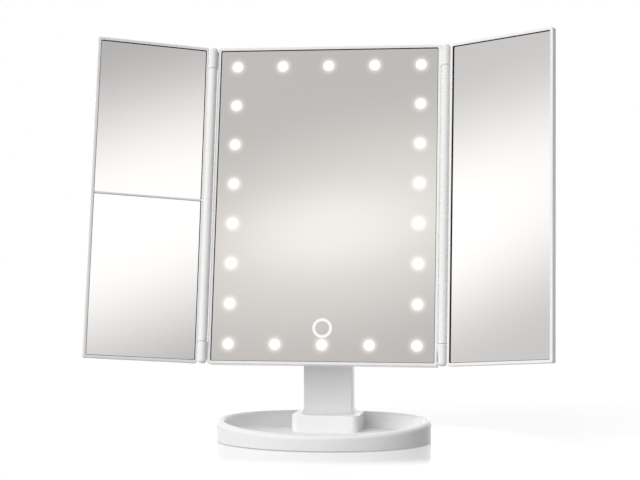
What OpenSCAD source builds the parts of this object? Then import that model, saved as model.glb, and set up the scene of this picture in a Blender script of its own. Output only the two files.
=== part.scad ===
// Trifold vanity mirror: an oval tray base with a pedestal and a flat neck carries a
// tilting lit mirror head, and two narrower mirror wings hinge on the head's sides.
//
// Frame: millimetres, +Z up, origin on the table at the centre of the oval base.
// The mirror faces -Y and +X is the viewer's right. The head and the wings are drawn in
// their own flat frames (x right, y back, z up) and are then turned into place.

/* [Main mirror] */
// Width of the opening that shows the main glass
glass_w = 163; // [130:1:200]
// Height of the opening that shows the main glass
glass_h = 233; // [200:1:300]
// Thickness of the main glass
glass_t = 2; // [1.5:0.1:3]
// Thickness of the double-sided tape under every glass
tape_t = 0.3; // [0.2:0.05:0.6]
// Width of the double-sided tape strips
tape_w = 5; // [3:0.5:8]
// Gap round each glass inside its frame
glass_gap = 0.2; // [0.1:0.05:0.5]

/* [Frames] */
// Width of the thin border round every glass
border = 2.5; // [2:0.1:5]
// Height of the border in front of the glass
lip = 1.5; // [0.5:0.1:3]
// Corner radius of the frames seen from the front
corner_r = 2; // [1:0.1:2.4]
// Thickness of the plate that the main glass is taped to
web_t = 2; // [1.5:0.1:3]
// Depth from the glass front to the joint between frame and back cover
frame_depth = 9; // [8.5:0.1:12]
// Depth of the back cover's own rim and plate together
back_depth = 3.5; // [3:0.1:6]
// Wall of the back cover's plate
back_wall = 1.6; // [1.2:0.1:2.4]

/* [Lights] */
// Distance of the outer lights from the left and right edges of the opening
led_in_x = 12.5; // [11:0.5:20]
// Distance of the outer lights from the top and bottom edges of the opening
led_in_z = 12.2; // [11:0.1:20]
// Lights in the top row and in the bottom row
led_cols = 5; // [3:1:7]
// Lights in each side column, corners included
led_rows = 8; // [4:1:9]
// Diameter of each clear window in the silvering
led_window_d = 8; // [5:0.5:10]
// Width of the flexible light strip
strip_w = 8; // [6:0.5:9]
// Thickness of the flexible light strip
strip_t = 0.8; // [0.5:0.1:1]
// Outer diameter of the lit touch ring
touch_d = 14.3; // [10:0.1:20]
// Line width of the lit touch ring
touch_line = 2; // [1:0.1:3]
// Height of the touch ring above the bottom row of lights
touch_up = 12.2; // [12:0.1:20]

/* [Wings] */
// Width of the opening that shows a wing's glass
wing_glass_w = 79.2; // [60:0.1:79.2]
// Width of a wing's border beside its hinge
hinge_border = 1.8; // [1.2:0.1:2.5]
// Thickness of a wing's glass
wing_glass_t = 1.8; // [1.5:0.1:2]
// Wall behind a wing's glass
wing_wall = 1.4; // [1:0.1:2.5]
// Width of the rib between the left wing's two panes
rib_w = 1.3; // [1:0.1:4]
// Height of that rib's middle above the head's middle
rib_z = 2; // [-30:1:30]
// Angle that the left wing stands forward of flat
left_open = 24.5; // [0:0.5:150]
// Angle that the right wing stands forward of flat
right_open = 27; // [0:0.5:150]

/* [Wing hinges] */
// Diameter of the hinge barrels
barrel_d = 6.4; // [5.6:0.1:8]
// Clear gap between a barrel and what turns past it
barrel_gap = 0.3; // [0.25:0.05:0.6]
// Distance that the hinge axis lies in front of the frame's front edge
axis_front = 0.5; // [0.4:0.05:1]
// Height of the end knuckles on the head
knuckle_h = 16; // [12:0.5:30]
// Diameter of the hinge pins
pin_d = 2; // [1.5:0.1:2.5]
// Length of a hinge pin, half in each knuckle
pin_l = 18; // [12:0.5:20]
// Radial running clearance of all turning fits
run_gap = 0.05; // [0.02:0.01:0.1]

/* [Tilt pivot] */
// Angle that the head leans back at rest
tilt = 10; // [0:0.5:60]
// Height of the tilt axis above the table
pivot_z = 116; // [100:1:140]
// Distance from the glass front back to the tilt axis
pivot_back = 30; // [27.8:0.1:34]
// Distance from the head's middle down to the tilt axis
pivot_down = 53; // [52:1:60]
// Diameter of the tilt bolt
bolt_d = 5; // [4:0.5:6]
// Width of the bracket's tongue between the neck's ears
tongue_w = 19; // [12:0.5:20]
// Thickness of the friction washers
washer_t = 0.8; // [0.5:0.1:1.5]
// Side gap between tongue, washers and ears
side_gap = 0.1; // [0.05:0.05:0.2]

/* [Neck and pedestal] */
// Width of the neck
neck_w = 36.5; // [34:0.5:44]
// Thickness of the neck, front to back
neck_t = 14; // [12:0.5:14]
// Distance of the neck's front face behind the base's middle
neck_y = 23; // [20:0.5:25]
// Wall of the neck
neck_wall = 2; // [1.6:0.1:2.4]
// Width of the pedestal
pedestal_w = 50; // [48:1:56]
// Distance of the pedestal's front face behind the base's middle
pedestal_y = 5; // [4:0.5:12]
// Height of the pedestal's top above the table
pedestal_h = 17.8; // [17:0.1:24]
// Wall of the pedestal
pedestal_wall = 2; // [1.6:0.1:2.5]
// Radius of the flare where the neck stands on the pedestal
flare_r = 4; // [2:0.5:4]

/* [Base] */
// Width of the oval base
base_w = 157; // [150:1:180]
// Depth of the oval base
base_d = 114; // [112:1:130]
// Height of the rim at the left and right ends
rim_side = 15.8; // [14.5:0.1:18]
// Height of the rim at the front
rim_front = 10.8; // [10:0.1:14]
// Height of the rim at the back
rim_back = 16.4; // [14:0.1:20]
// Radius of the rim's outer edge
rim_r = 3; // [2:0.1:3.5]
// Radius of the rim's inner edge
rim_inner_r = 2.5; // [1.5:0.1:3]
// Width of the rim and its slope, from the outside to the floor
slope_w = 11; // [10.5:0.1:12]
// Height of the tray floor's top
floor_z = 5.6; // [5.4:0.1:6.5]
// Wall of the tray
tray_wall = 1.6; // [1.4:0.1:2]
// Gap between the tray's lower edge and the table
foot_gap = 0.8; // [0.5:0.1:1]
// Thickness of the bottom plate
plate_t = 1.3; // [1.2:0.1:1.6]
// Distance of the anti-slip pad's edge inside the base's edge
pad_inset = 5.5; // [4:0.5:12]
// Thickness of the anti-slip pad under the bottom plate
pad_t = 1.2; // [1.1:0.1:1.3]

/* [Battery box] */
// Diameter of a small round cell
cell_d = 10.5; // [10:0.1:11]
// Length of a small round cell
cell_l = 44.5; // [40:0.5:46]
// Number of cells side by side
cells = 4; // [2:1:4]
// Gap between neighbouring cells
cell_gap = 0.3; // [0.2:0.1:0.6]
// Height of the box's middle below the head's middle
box_down = 7; // [2:1:10]
// Side wall of the battery box
box_wall = 3; // [2.5:0.1:4]
// Thickness of the sliding battery cover
cover_t = 1.6; // [1.2:0.1:2]
// Clearance of the cover in its grooves
slide_gap = 0.2; // [0.1:0.05:0.3]

/* [Switch and power inlet] */
// Distance of the switch and of the inlet from the head's middle
outlet_x = 48; // [42:1:52]
// Travel of the slide switch
switch_travel = 3; // [2:0.5:4]
// Width of the inlet's metal shell
inlet_w = 8.4; // [7:0.1:9.5]
// Height of the inlet's metal shell
inlet_h = 3.2; // [2.6:0.1:4]

/* [Screws] */
// Diameter of the small screws
screw_d = 2.4; // [2:0.1:2.8]
// Diameter of the small screws' heads
screw_head_d = 4.8; // [4.2:0.1:5.4]
// Height of the small screws' heads
screw_head_h = 1.2; // [0.9:0.1:1.3]
// Diameter of the bosses that the screws bite into
boss_d = 6; // [5.6:0.1:7]

/* [Hidden] */

$fn = 48;
// Overshoot of cutting shapes past the face that they cut
over = 1;
// Small gap that keeps a fastener or an inlay off the wall of its own hole
seat = 0.05;

white = "white";
steel = "silver";
mirror_grey = "gainsboro";
tape_grey = "dimgray";

// Head, from the glass front backwards
head_w = glass_w + 2 * border;
head_h = glass_h + 2 * border;
// Distance of the tape from the opening's edge, and its corner radius
tape_in = 1;
tape_r = 1;
web_y = glass_t + tape_t;
web_back = web_y + web_t;
back_y = frame_depth + back_depth;
plate_in = back_y - back_wall;
axis_y = -lip - axis_front;
hinge_x = head_w / 2 + barrel_gap + barrel_d / 2;
barrel_r = barrel_d / 2;
knuckle_z = head_h / 2 - knuckle_h;
leaf_t = barrel_r - axis_front - 0.2;

// Lights
led_x = glass_w / 2 - led_in_x;
led_z = glass_h / 2 - led_in_z;
row_xs = [for (i = [0:led_cols - 1]) (2 * i / (led_cols - 1) - 1) * led_x];
side_zs = [for (i = [1:led_rows - 2]) (2 * i / (led_rows - 1) - 1) * led_z];
led_places = concat(
    [for (x = row_xs, s = [-1, 1]) [x, s * led_z]],
    [for (z = side_zs, s = [-1, 1]) [s * led_x, z]]);
touch_z = -led_z + touch_up;
// Depth of the touch ring's inlay
touch_t = 0.5;
chip = [3.5, 0.7, 2.8];
// Gap between a light window in the glass and its hole in the plate behind
light_gap = 0.2;

// Wing, from its hinge axis outwards
wing_x0 = barrel_r + barrel_gap;
wing_open_x0 = wing_x0 + hinge_border;
wing_w = hinge_border + wing_glass_w + border;
wing_recess = lip + wing_glass_t + tape_t;
wing_t = wing_recess + wing_wall;

// Neck, ears and pivot
pivot_y = neck_y + neck_t / 2;
ear_x = tongue_w / 2 + 2 * side_gap + washer_t;
// Room below the bracket's round end in the fork
fork_room = 1.5;
fork_z = pivot_z - neck_t / 2 - fork_room;
// Round recess for the bolt head and for the nut
sink_r = 5.2;
sink_depth = 3.4;
bolt_head_h = 2.5;
bolt_head_r = 0.9 * bolt_d;
nut_h = 2.4;
// Distance of a pivot cap from the bolt head, and its thickness
cap_gap = 0.1;
cap_t = 1.2;
// Solid lengths of the neck below the fork and above the tray's floor
neck_solid_top = 4.5;
neck_solid_low = 12;
neck_hollow_top = fork_z - neck_solid_top;
neck_hollow_low = floor_z + neck_solid_low;
// Window in the neck's back: distance from the neck's sides and from the hollow's ends
window_side = 4.25;
window_low = 11;
window_high = 3;
neck_window = [neck_w - 2 * window_side,
    neck_hollow_top - neck_hollow_low - window_low - window_high];
neck_window_z = neck_hollow_low + window_low;
// Distance of the cover's screws from the cover's ends
cover_screw_in = 8;
cover_screw_zs = [neck_window_z + cover_screw_in,
    neck_window_z + neck_window[1] - cover_screw_in];
foot_screw_x = neck_w / 2 - 5;
// Corner radius of the neck's outline
neck_corner_r = 1;
// Screw lengths: neck cover, neck foot, pedestal, bottom plate, head, board
cover_screw_l = 9;
foot_screw_l = 9;
pedestal_screw_l = 8;
plate_screw_l = 5.1;
head_screw_l = 7;

// Bracket on the head's back
bracket_plate = [tongue_w + 15, 2.4, 26];
bracket_corner_r = 3;
bracket_r = neck_t / 2 - 0.2;
bracket_screw_x = bracket_plate[0] / 2 - 3.6;
bracket_screw_z = bracket_plate[2] / 2 - 4;
// Bosses inside the back cover that the bracket's screws bite into
bracket_boss_h = 4;
bracket_boss_r = boss_d / 2 - 0.4;

// Base
base_a = base_w / 2;
base_b = base_d / 2;
rim_arch = rim_side - (rim_front + rim_back) / 2;
rim_slope = (rim_back - rim_front) / base_d;
oval_steps = 80;
// Width of the flat on top of the rim between its two rounded edges
rim_flat = 0.6;
// Bevel at the tray's lower outside edge
tray_bevel = 0.5;
// Slope from the rim to the floor: share of its width, height over the floor, share of rise
slope_curve = [[0.45, 1.8, 0.25], [0.72, 0.6, 0.08], [1, 0, 0]];
plate_z = pad_t;
plate_top = plate_z + plate_t;
under_z = floor_z - tray_wall;
plate_inset = 2.8;
plate_boss_inset = 5;
plate_boss_r = boss_d / 2 - 0.4;
plate_screw_angles = [35, 145, 215, 325];
// The pedestal's back corners end where the tray's slope begins
pedestal_back = (base_b - slope_w) * sqrt(1 - pow(pedestal_w / 2 / (base_a - slope_w), 2));
pedestal_d = pedestal_back - pedestal_y;
pedestal_corner_r = 4;
pedestal_screw_x = pedestal_w / 2 - 3.7;

// Battery box, in the head's frame
box_z = -box_down;
cell_pitch = cell_d + cell_gap;
box_in_w = cells * cell_pitch + 1.8;
spring_l = 4.5;
cell_spring_r = [3.4, 2.2];
cell_nub = [3.8, 0.8];
contact_t = 0.4;
contact_w = 8;
box_in_l = cell_l + spring_l + 2 * contact_t + 0.2;
box_floor = web_back + 0.7;
box_floor_t = 1.2;
cell_y = box_floor + box_floor_t + slide_gap + cell_d / 2;
cover_y = cell_y + cell_d / 2 + slide_gap;
groove = 1.5;
box_end = 2;
// Edge of the box that holds the cover in its grooves
groove_edge = 0.8;
box_back = cover_y + cover_t + slide_gap + groove_edge;
// Finger ridges on the battery cover: half length, height, thickness, pitch, count
ridge = [7, 1, 0.6, 3, 4];
box_low = box_z - box_in_l / 2;
box_high = box_z + box_in_l / 2;
cell_xs = [for (i = [0:cells - 1]) (i - (cells - 1) / 2) * cell_pitch];

// Control board
board = [40, 1.2, 20];
standoff_h = 2.2;
board_y = web_back + standoff_h;
board_screw_x = board[0] / 2 - 4;
board_screw_r = 0.9;
board_screw_head = [1.8, 1];
board_screw_in = 1;
standoff_r = 2.4;
// Driver chip, choke and touch chip on the board's back: x, z, width, height, thickness
board_parts = [[-6, 4, 5, 4, 1.4], [5, 4, 6, 6, 1.6], [4, -5, 4, 3, 1]];
// Touch spring between the board and the glass, and its hole in the plate
spring_r = 2.6;
spring_hollow_r = 1.8;
spring_cap_t = 0.4;
spring_room = 0.8;

// Back cover, slide switch and inlet
back_bevel = 1.5;
back_taper = 1.2;
guide_h = 1.5;
guide_t = 1.5;
pilot_skin = 0.6;
switch_box = [13, 5, 6];
knob = [3.4, 2.8];
knob_in = 2.8;
knob_out = 1.2;
knob_room = 0.3;
inlet_shell = 0.4;
inlet_l = 5;
inlet_board_t = 1;
inlet_board_edge = 3;
wire_r = 0.6;

// Head screws stand between the light strip and the middle
head_screw_x = led_x - strip_w / 2 - boss_d / 2 - 3;
head_screw_z = led_z - strip_w / 2 - boss_d / 2 - 4;
head_screw_places = [for (x = [-1, 1], z = [-1, 0, 1]) [x * head_screw_x, z * head_screw_z]];

// ---- Helpers -------------------------------------------------------------------------

// Turns a piece drawn in the head's flat frame into its place on the neck
module on_head()
    translate([0, pivot_y, pivot_z]) rotate([-tilt, 0, 0])
        translate([0, -pivot_back, pivot_down]) children();

// Turns a piece drawn in a wing's flat frame (x from the hinge axis outwards, y back from
// the axis, z up) into its place. side is 1 for the right wing and -1 for the left.
module on_wing(side, open)
    on_head() mirror([side < 0 ? 1 : 0, 0, 0])
        translate([hinge_x, axis_y, 0]) rotate([0, 0, -open]) children();

// Rectangle with true round corners, centred
module round_rect(w, h, r) {
    square([w - 2 * r, h], center = true);
    square([w, h - 2 * r], center = true);
    for (x = [-1, 1], y = [-1, 1])
        translate([x * (w / 2 - r), y * (h / 2 - r)]) circle(r);
}

// Plate in the XZ plane with round corners, from y to y + t, centred on x and z
module slab(w, h, r, y, t)
    translate([0, y + t, 0]) rotate([90, 0, 0]) linear_extrude(t) round_rect(w, h, r);

// Block from two opposite corners
module block(low, high) translate(low) cube(high - low);

// Cylinder along Y from y to y + l at [x, z]
module rod_y(x, z, y, l, r) translate([x, y, z]) rotate([-90, 0, 0]) cylinder(r = r, h = l);

// Cylinder along X from x to x + l at [y, z]
module rod_x(y, z, x, l, r) translate([x, y, z]) rotate([0, 90, 0]) cylinder(r = r, h = l);

// Screw along -Y: pan head on the face at y, shank of length l towards the front
module screw_front(x, z, y, l) {
    rod_y(x, z, y, screw_head_h, screw_head_d / 2);
    rod_y(x, z, y - l, l + over / 2, screw_d / 2);
}

// Countersunk screw along -Y, its head flush with the face at y
module sunk_screw(x, z, y, l) {
    translate([x, y, z]) rotate([90, 0, 0])
        cylinder(r1 = screw_head_d / 2, r2 = screw_d / 2, h = screw_head_h);
    rod_y(x, z, y - l, l - screw_head_h / 2, screw_d / 2);
}

// Hole for a countersunk screw through a wall whose outer face is at y
module sunk_hole(x, z, y, wall) {
    translate([x, y + seat, z]) rotate([90, 0, 0])
        cylinder(r1 = screw_head_d / 2 + 2 * seat, r2 = screw_d / 2 + seat,
            h = screw_head_h + seat);
    rod_y(x, z, y - wall - over, wall + 2 * over, screw_d / 2 + seat);
}

// Screw along +Z from below: pan head under the face at z, shank of length l upwards
module screw_up(x, y, z, l) {
    translate([x, y, z - screw_head_h]) cylinder(r = screw_head_d / 2, h = screw_head_h);
    translate([x, y, z - over / 2]) cylinder(r = screw_d / 2, h = l + over / 2);
}

// Faces of a skin through rings of steps points each, closed by its first and last ring.
// The points of a ring run counterclockwise when seen from the next ring.
function skin_faces(rings, steps) = concat(
    [[for (i = [0:steps - 1]) i]],
    [for (k = [0:rings - 2], i = [0:steps - 1])
        let (j = (i + 1) % steps, low = k * steps, top = low + steps)
            each [[low + i, top + i, top + j], [low + i, top + j, low + j]]],
    [[for (i = [0:steps - 1]) rings * steps - 1 - i]]);

function unit(v) = v / norm(v);

// Eight-sided wire of radius r through a list of points
module wire(points, r) {
    last = len(points) - 1;
    skin = [for (i = [0:last])
        let (before = unit(points[max(i, 1)] - points[max(i, 1) - 1]),
            after = unit(points[min(i, last - 1) + 1] - points[min(i, last - 1)]),
            along = unit(before + after),
            across = unit(cross(along, [0, 1, 0])),
            rise = cross(along, across))
                for (k = [0:7]) points[i] + r * (cos(45 * k) * across + sin(45 * k) * rise)];
    polyhedron(skin, skin_faces(last + 1, 8), convexity = 4);
}

// ---- Base ----------------------------------------------------------------------------

// Height that the rim gains at distance y behind the base's middle
function rim_rise(y) = rim_slope * y - rim_arch * y * y / (base_b * base_b);

// Point on the base's outline, drawn in by inset
function oval(angle, inset) = [(base_a - inset) * cos(angle), (base_b - inset) * sin(angle)];

// The base's outline, drawn in by inset
module oval_outline(inset)
    polygon([for (i = [0:oval_steps - 1]) oval(i * 360 / oval_steps, inset)]);

// Solid whose skin runs through oval rings. Each ring is [inset, z, share], where share
// is how much of the rim's rise the ring follows.
module oval_rings(rings) {
    points = [for (ring = rings, i = [0:oval_steps - 1])
        let (p = oval(i * 360 / oval_steps, ring[0]))
            [p[0], p[1], ring[1] + ring[2] * rim_rise(p[1])]];
    polyhedron(points, skin_faces(len(rings), oval_steps), convexity = 6);
}

// Rings of the rim's rounded outer edge and of its rounded inner edge, top height z
function outer_round(r, z) = [for (t = [0:22.5:90]) [r * (1 - cos(t)), z - r + r * sin(t), 1]];
function inner_round(r, inset, z) =
    [for (t = [0:22.5:90]) [inset + r * sin(t), z - r + r * cos(t), 1]];

module plate_screw_places()
    for (t = plate_screw_angles) translate(oval(t, plate_boss_inset)) children();

module base_tray() {
    crest = rim_r + rim_flat;
    slope_top = crest + rim_inner_r;
    slope = slope_w - slope_top;
    skin = concat(
        [[tray_bevel, foot_gap, 0], [0, foot_gap + tray_bevel, 0]],
        outer_round(rim_r, rim_side),
        inner_round(rim_inner_r, crest, rim_side),
        [for (c = slope_curve) [slope_top + c[0] * slope, floor_z + c[1], c[2]]]);
    hollow = [[1.5 * tray_wall, -over, 0],
        [1.5 * tray_wall, rim_side - rim_r - 1.5 * tray_wall, 1],
        [2 * tray_wall, rim_side - rim_r - tray_wall, 1],
        [crest, rim_side - rim_r - tray_wall, 1],
        [slope_w - 2.2 * tray_wall, under_z, 0]];
    color(white) difference() {
        union() {
            difference() {
                oval_rings(skin);
                oval_rings(hollow);
            }
            plate_screw_places()
                translate([0, 0, plate_top]) cylinder(r = plate_boss_r, h = floor_z);
        }
        plate_screw_places()
            translate([0, 0, plate_top - over]) cylinder(d = screw_d + 2 * seat, h = floor_z);
        for (x = [-1, 1]) {
            translate([x * foot_screw_x, pivot_y, under_z - over])
                cylinder(d = screw_d + 4 * seat, h = tray_wall + 2 * over);
            translate([x * pedestal_screw_x, pivot_y, under_z - over])
                cylinder(d = screw_d + 4 * seat, h = tray_wall + 2 * over);
        }
    }
}

// Outline of the neck, grown by g on every side
module neck_outline(g) translate([0, pivot_y])
    round_rect(neck_w + 2 * g, neck_t + 2 * g, neck_corner_r + g);

module pedestal() {
    mid_y = pedestal_y + pedestal_d / 2;
    flare_w = neck_w + 2 * seat + 2 * flare_r;
    flare_t = neck_t + 2 * seat + 2 * flare_r;
    color(white) difference() {
        union() {
            difference() {
                translate([0, mid_y, floor_z]) linear_extrude(pedestal_h - floor_z)
                    round_rect(pedestal_w, pedestal_d, pedestal_corner_r);
                translate([0, mid_y, floor_z - over])
                    linear_extrude(pedestal_h - floor_z - pedestal_wall + over)
                        round_rect(pedestal_w - 2 * pedestal_wall,
                            pedestal_d - 2 * pedestal_wall,
                            pedestal_corner_r - pedestal_wall);
            }
            for (x = [-1, 1]) translate([x * pedestal_screw_x, pivot_y, floor_z])
                cylinder(d = boss_d, h = pedestal_h - floor_z - pedestal_wall / 2);
            // flare up to the neck, hollowed along its four sides
            difference() {
                translate([-flare_w / 2, pivot_y - flare_t / 2, pedestal_h - pedestal_wall])
                    cube([flare_w, flare_t, flare_r + pedestal_wall]);
                for (s = [-1, 1]) {
                    rod_x(pivot_y + s * flare_t / 2, pedestal_h + flare_r,
                        -flare_w, 2 * flare_w, flare_r);
                    rod_y(s * flare_w / 2, pedestal_h + flare_r,
                        pivot_y - flare_t, 2 * flare_t, flare_r);
                }
            }
        }
        translate([0, 0, floor_z - over]) linear_extrude(pedestal_h + flare_r)
            neck_outline(seat);
        for (x = [-1, 1]) translate([x * pedestal_screw_x, pivot_y, floor_z - over])
            cylinder(d = screw_d + 2 * seat, h = pedestal_screw_l + over);
    }
}

module base_plate() {
    color(white) difference() {
        translate([0, 0, plate_z]) linear_extrude(plate_t) oval_outline(plate_inset);
        plate_screw_places() {
            translate([0, 0, plate_z - over]) cylinder(d = screw_d + 2 * seat, h = plate_t + 2 * over);
            translate([0, 0, plate_z - seat])
                cylinder(d1 = screw_head_d + 4 * seat, d2 = screw_d + 2 * seat,
                    h = screw_head_h + seat);
        }
    }
}

module base_plate_screws() {
    color(steel) plate_screw_places() {
        translate([0, 0, plate_z])
            cylinder(d1 = screw_head_d, d2 = screw_d, h = screw_head_h);
        translate([0, 0, plate_z + screw_head_h / 2])
            cylinder(d = screw_d, h = plate_screw_l - screw_head_h / 2);
    }
}

module foot_pad() color("gray") linear_extrude(pad_t) oval_outline(pad_inset);

// ---- Neck and tilt pivot --------------------------------------------------------------

module neck() {
    color(white) difference() {
        union() {
            translate([0, 0, floor_z]) linear_extrude(pivot_z - floor_z) neck_outline(0);
            rod_x(pivot_y, pivot_z, -neck_w / 2, neck_w, neck_t / 2);
        }
        // fork slot, open to the front, the back and the top
        block([-ear_x, neck_y - over, fork_z], [ear_x, neck_y + neck_t + over, pivot_z + neck_t]);
        // inside of the column, and the window that the cover closes
        difference() {
            block([-neck_w / 2 + neck_wall, neck_y + neck_wall, neck_hollow_low],
                [neck_w / 2 - neck_wall, neck_y + neck_t - neck_wall, neck_hollow_top]);
            for (z = cover_screw_zs) rod_y(0, z, neck_y, neck_t, boss_d / 2);
        }
        block([-neck_window[0] / 2, neck_y + neck_t - neck_wall, neck_window_z],
            [neck_window[0] / 2, neck_y + neck_t + over, neck_window_z + neck_window[1]]);
        for (z = cover_screw_zs)
            rod_y(0, z, neck_y + neck_wall, neck_t, screw_d / 2 + seat);
        rod_x(pivot_y, pivot_z, -neck_w, 2 * neck_w, bolt_d / 2 + run_gap);
        for (s = [-1, 1])
            rod_x(pivot_y, pivot_z, s * (neck_w / 2 - sink_depth / 2 + over / 2)
                - (sink_depth + over) / 2, sink_depth + over, sink_r);
        for (x = [-1, 1]) translate([x * foot_screw_x, pivot_y, floor_z - over])
            cylinder(d = screw_d + 2 * seat, h = foot_screw_l + over);
    }
}

module neck_cover() {
    color(white) difference() {
        block([-neck_window[0] / 2 + slide_gap, neck_y + neck_t - neck_wall,
                neck_window_z + slide_gap],
            [neck_window[0] / 2 - slide_gap, neck_y + neck_t,
                neck_window_z + neck_window[1] - slide_gap]);
        for (z = cover_screw_zs) sunk_hole(0, z, neck_y + neck_t, neck_wall);
    }
}

module neck_cover_screws()
    color(steel) for (z = cover_screw_zs) sunk_screw(0, z, neck_y + neck_t, cover_screw_l);

module neck_foot_screws()
    color(steel) for (x = [-1, 1]) 
        screw_up(x * foot_screw_x, pivot_y, under_z, foot_screw_l);

module pedestal_screws()
    color(steel) for (x = [-1, 1]) 
        screw_up(x * pedestal_screw_x, pivot_y, under_z, pedestal_screw_l);

module tilt_bolt() {
    head_x = -neck_w / 2 + sink_depth;
    color(steel) {
        rod_x(pivot_y, pivot_z, head_x - bolt_head_h / 2,
            neck_w - 2 * sink_depth + nut_h + bolt_head_h / 2, bolt_d / 2);
        rod_x(pivot_y, pivot_z, head_x - bolt_head_h, bolt_head_h, bolt_head_r);
    }
}

module tilt_nut() {
    color(steel) difference() {
        translate([neck_w / 2 - sink_depth, pivot_y, pivot_z]) rotate([0, 90, 0])
            cylinder(r = bolt_head_r, h = nut_h, $fn = 6);
        rod_x(pivot_y, pivot_z, 0, neck_w, bolt_d / 2);
    }
}

module friction_washers() {
    color("dimgray") for (s = [-1, 1]) {
        x = s * (tongue_w / 2 + side_gap + washer_t / 2);
        difference() {
            rod_x(pivot_y, pivot_z, x - washer_t / 2, washer_t, bolt_d * 1.1);
            rod_x(pivot_y, pivot_z, x - washer_t, 2 * washer_t, bolt_d / 2 + run_gap);
        }
    }
}

module pivot_caps()
    color(white) for (s = [-1, 1])
        rod_x(pivot_y, pivot_z,
            s * (neck_w / 2 - sink_depth + bolt_head_h + cap_gap + cap_t / 2) - cap_t / 2,
            cap_t, sink_r - seat);

module tilt_bracket() {
    plate_y = back_y;
    arm_y = plate_y + bracket_plate[1];
    color(white) on_head() difference() {
        union() {
            translate([0, 0, -pivot_down])
                slab(bracket_plate[0], bracket_plate[2], bracket_corner_r, plate_y,
                    bracket_plate[1]);
            block([-tongue_w / 2, arm_y - over, -pivot_down - bracket_r],
                [tongue_w / 2, pivot_back, -pivot_down + bracket_r]);
            rod_x(pivot_back, -pivot_down, -tongue_w / 2, tongue_w, bracket_r);
        }
        rod_x(pivot_back, -pivot_down, -tongue_w, 2 * tongue_w, bolt_d / 2 + run_gap);
        bracket_screw_places() rod_y(0, 0, plate_y - over, 2 * bracket_plate[1],
            screw_d / 2 + seat);
    }
}

module bracket_screw_places()
    for (x = [-1, 1], z = [-1, 1])
        translate([x * bracket_screw_x, 0, -pivot_down + z * bracket_screw_z]) children();

module bracket_screws()
    color(steel) on_head() bracket_screw_places()
        screw_front(0, 0, back_y + bracket_plate[1], bracket_plate[1] + back_wall + 3);

// ---- Head -----------------------------------------------------------------------------

// Hinge knuckle along Z from z to z + h, its free end rounded; up says which end is free
module knuckle(z, h, up) {
    r = barrel_r * 0.8;
    translate([0, 0, up ? z : z + h]) mirror([0, 0, up ? 0 : 1]) rotate_extrude() {
        square([barrel_r, h - r]);
        square([barrel_r - r, h]);
        intersection() {
            translate([barrel_r - r, h - r]) circle(r);
            square([barrel_r, h]);
        }
    }
}

module head_frame() {
    color(white) on_head() difference() {
        union() {
            difference() {
                slab(head_w, head_h, corner_r, -lip, lip + frame_depth);
                slab(glass_w, glass_h, corner_r / 2, -lip - over, lip + over + web_y);
                slab(glass_w, glass_h, corner_r / 2, web_back, frame_depth);
                for (p = led_places)
                    rod_y(p[0], p[1], 0, 2 * web_back, led_window_d / 2 + light_gap);
                rod_y(0, touch_z, 0, 2 * web_back, spring_r + spring_room);
            }
            for (p = head_screw_places)
                rod_y(p[0], p[1], web_back - seat, plate_in - web_back + seat, boss_d / 2);
            for (x = [-1, 1])
                rod_y(x * board_screw_x, touch_z, web_back - seat,
                    board_y - web_back + seat, standoff_r);
            for (s = [-1, 1], up = [false, true])
                translate([s * hinge_x, axis_y, 0]) {
                    knuckle(up ? knuckle_z : -head_h / 2, knuckle_h, up);
                    // leaf from the knuckle to the frame's side
                    block([s > 0 ? -wing_x0 - border / 2 : 0, axis_front,
                            up ? knuckle_z : -head_h / 2 + barrel_r],
                        [s > 0 ? 0 : wing_x0 + border / 2, axis_front + leaf_t,
                            up ? head_h / 2 - barrel_r : -knuckle_z]);
                }
        }
        for (p = head_screw_places)
            rod_y(p[0], p[1], web_back + pilot_skin, frame_depth, screw_d / 2 + seat);
        for (x = [-1, 1])
            rod_y(x * board_screw_x, touch_z, web_back - board_screw_in - seat, frame_depth,
                board_screw_r + seat);
        for (s = [-1, 1], up = [-1, 1])
            translate([s * hinge_x, axis_y, up * knuckle_z - pin_l / 2])
                cylinder(d = pin_d, h = pin_l);
    }
}

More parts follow.
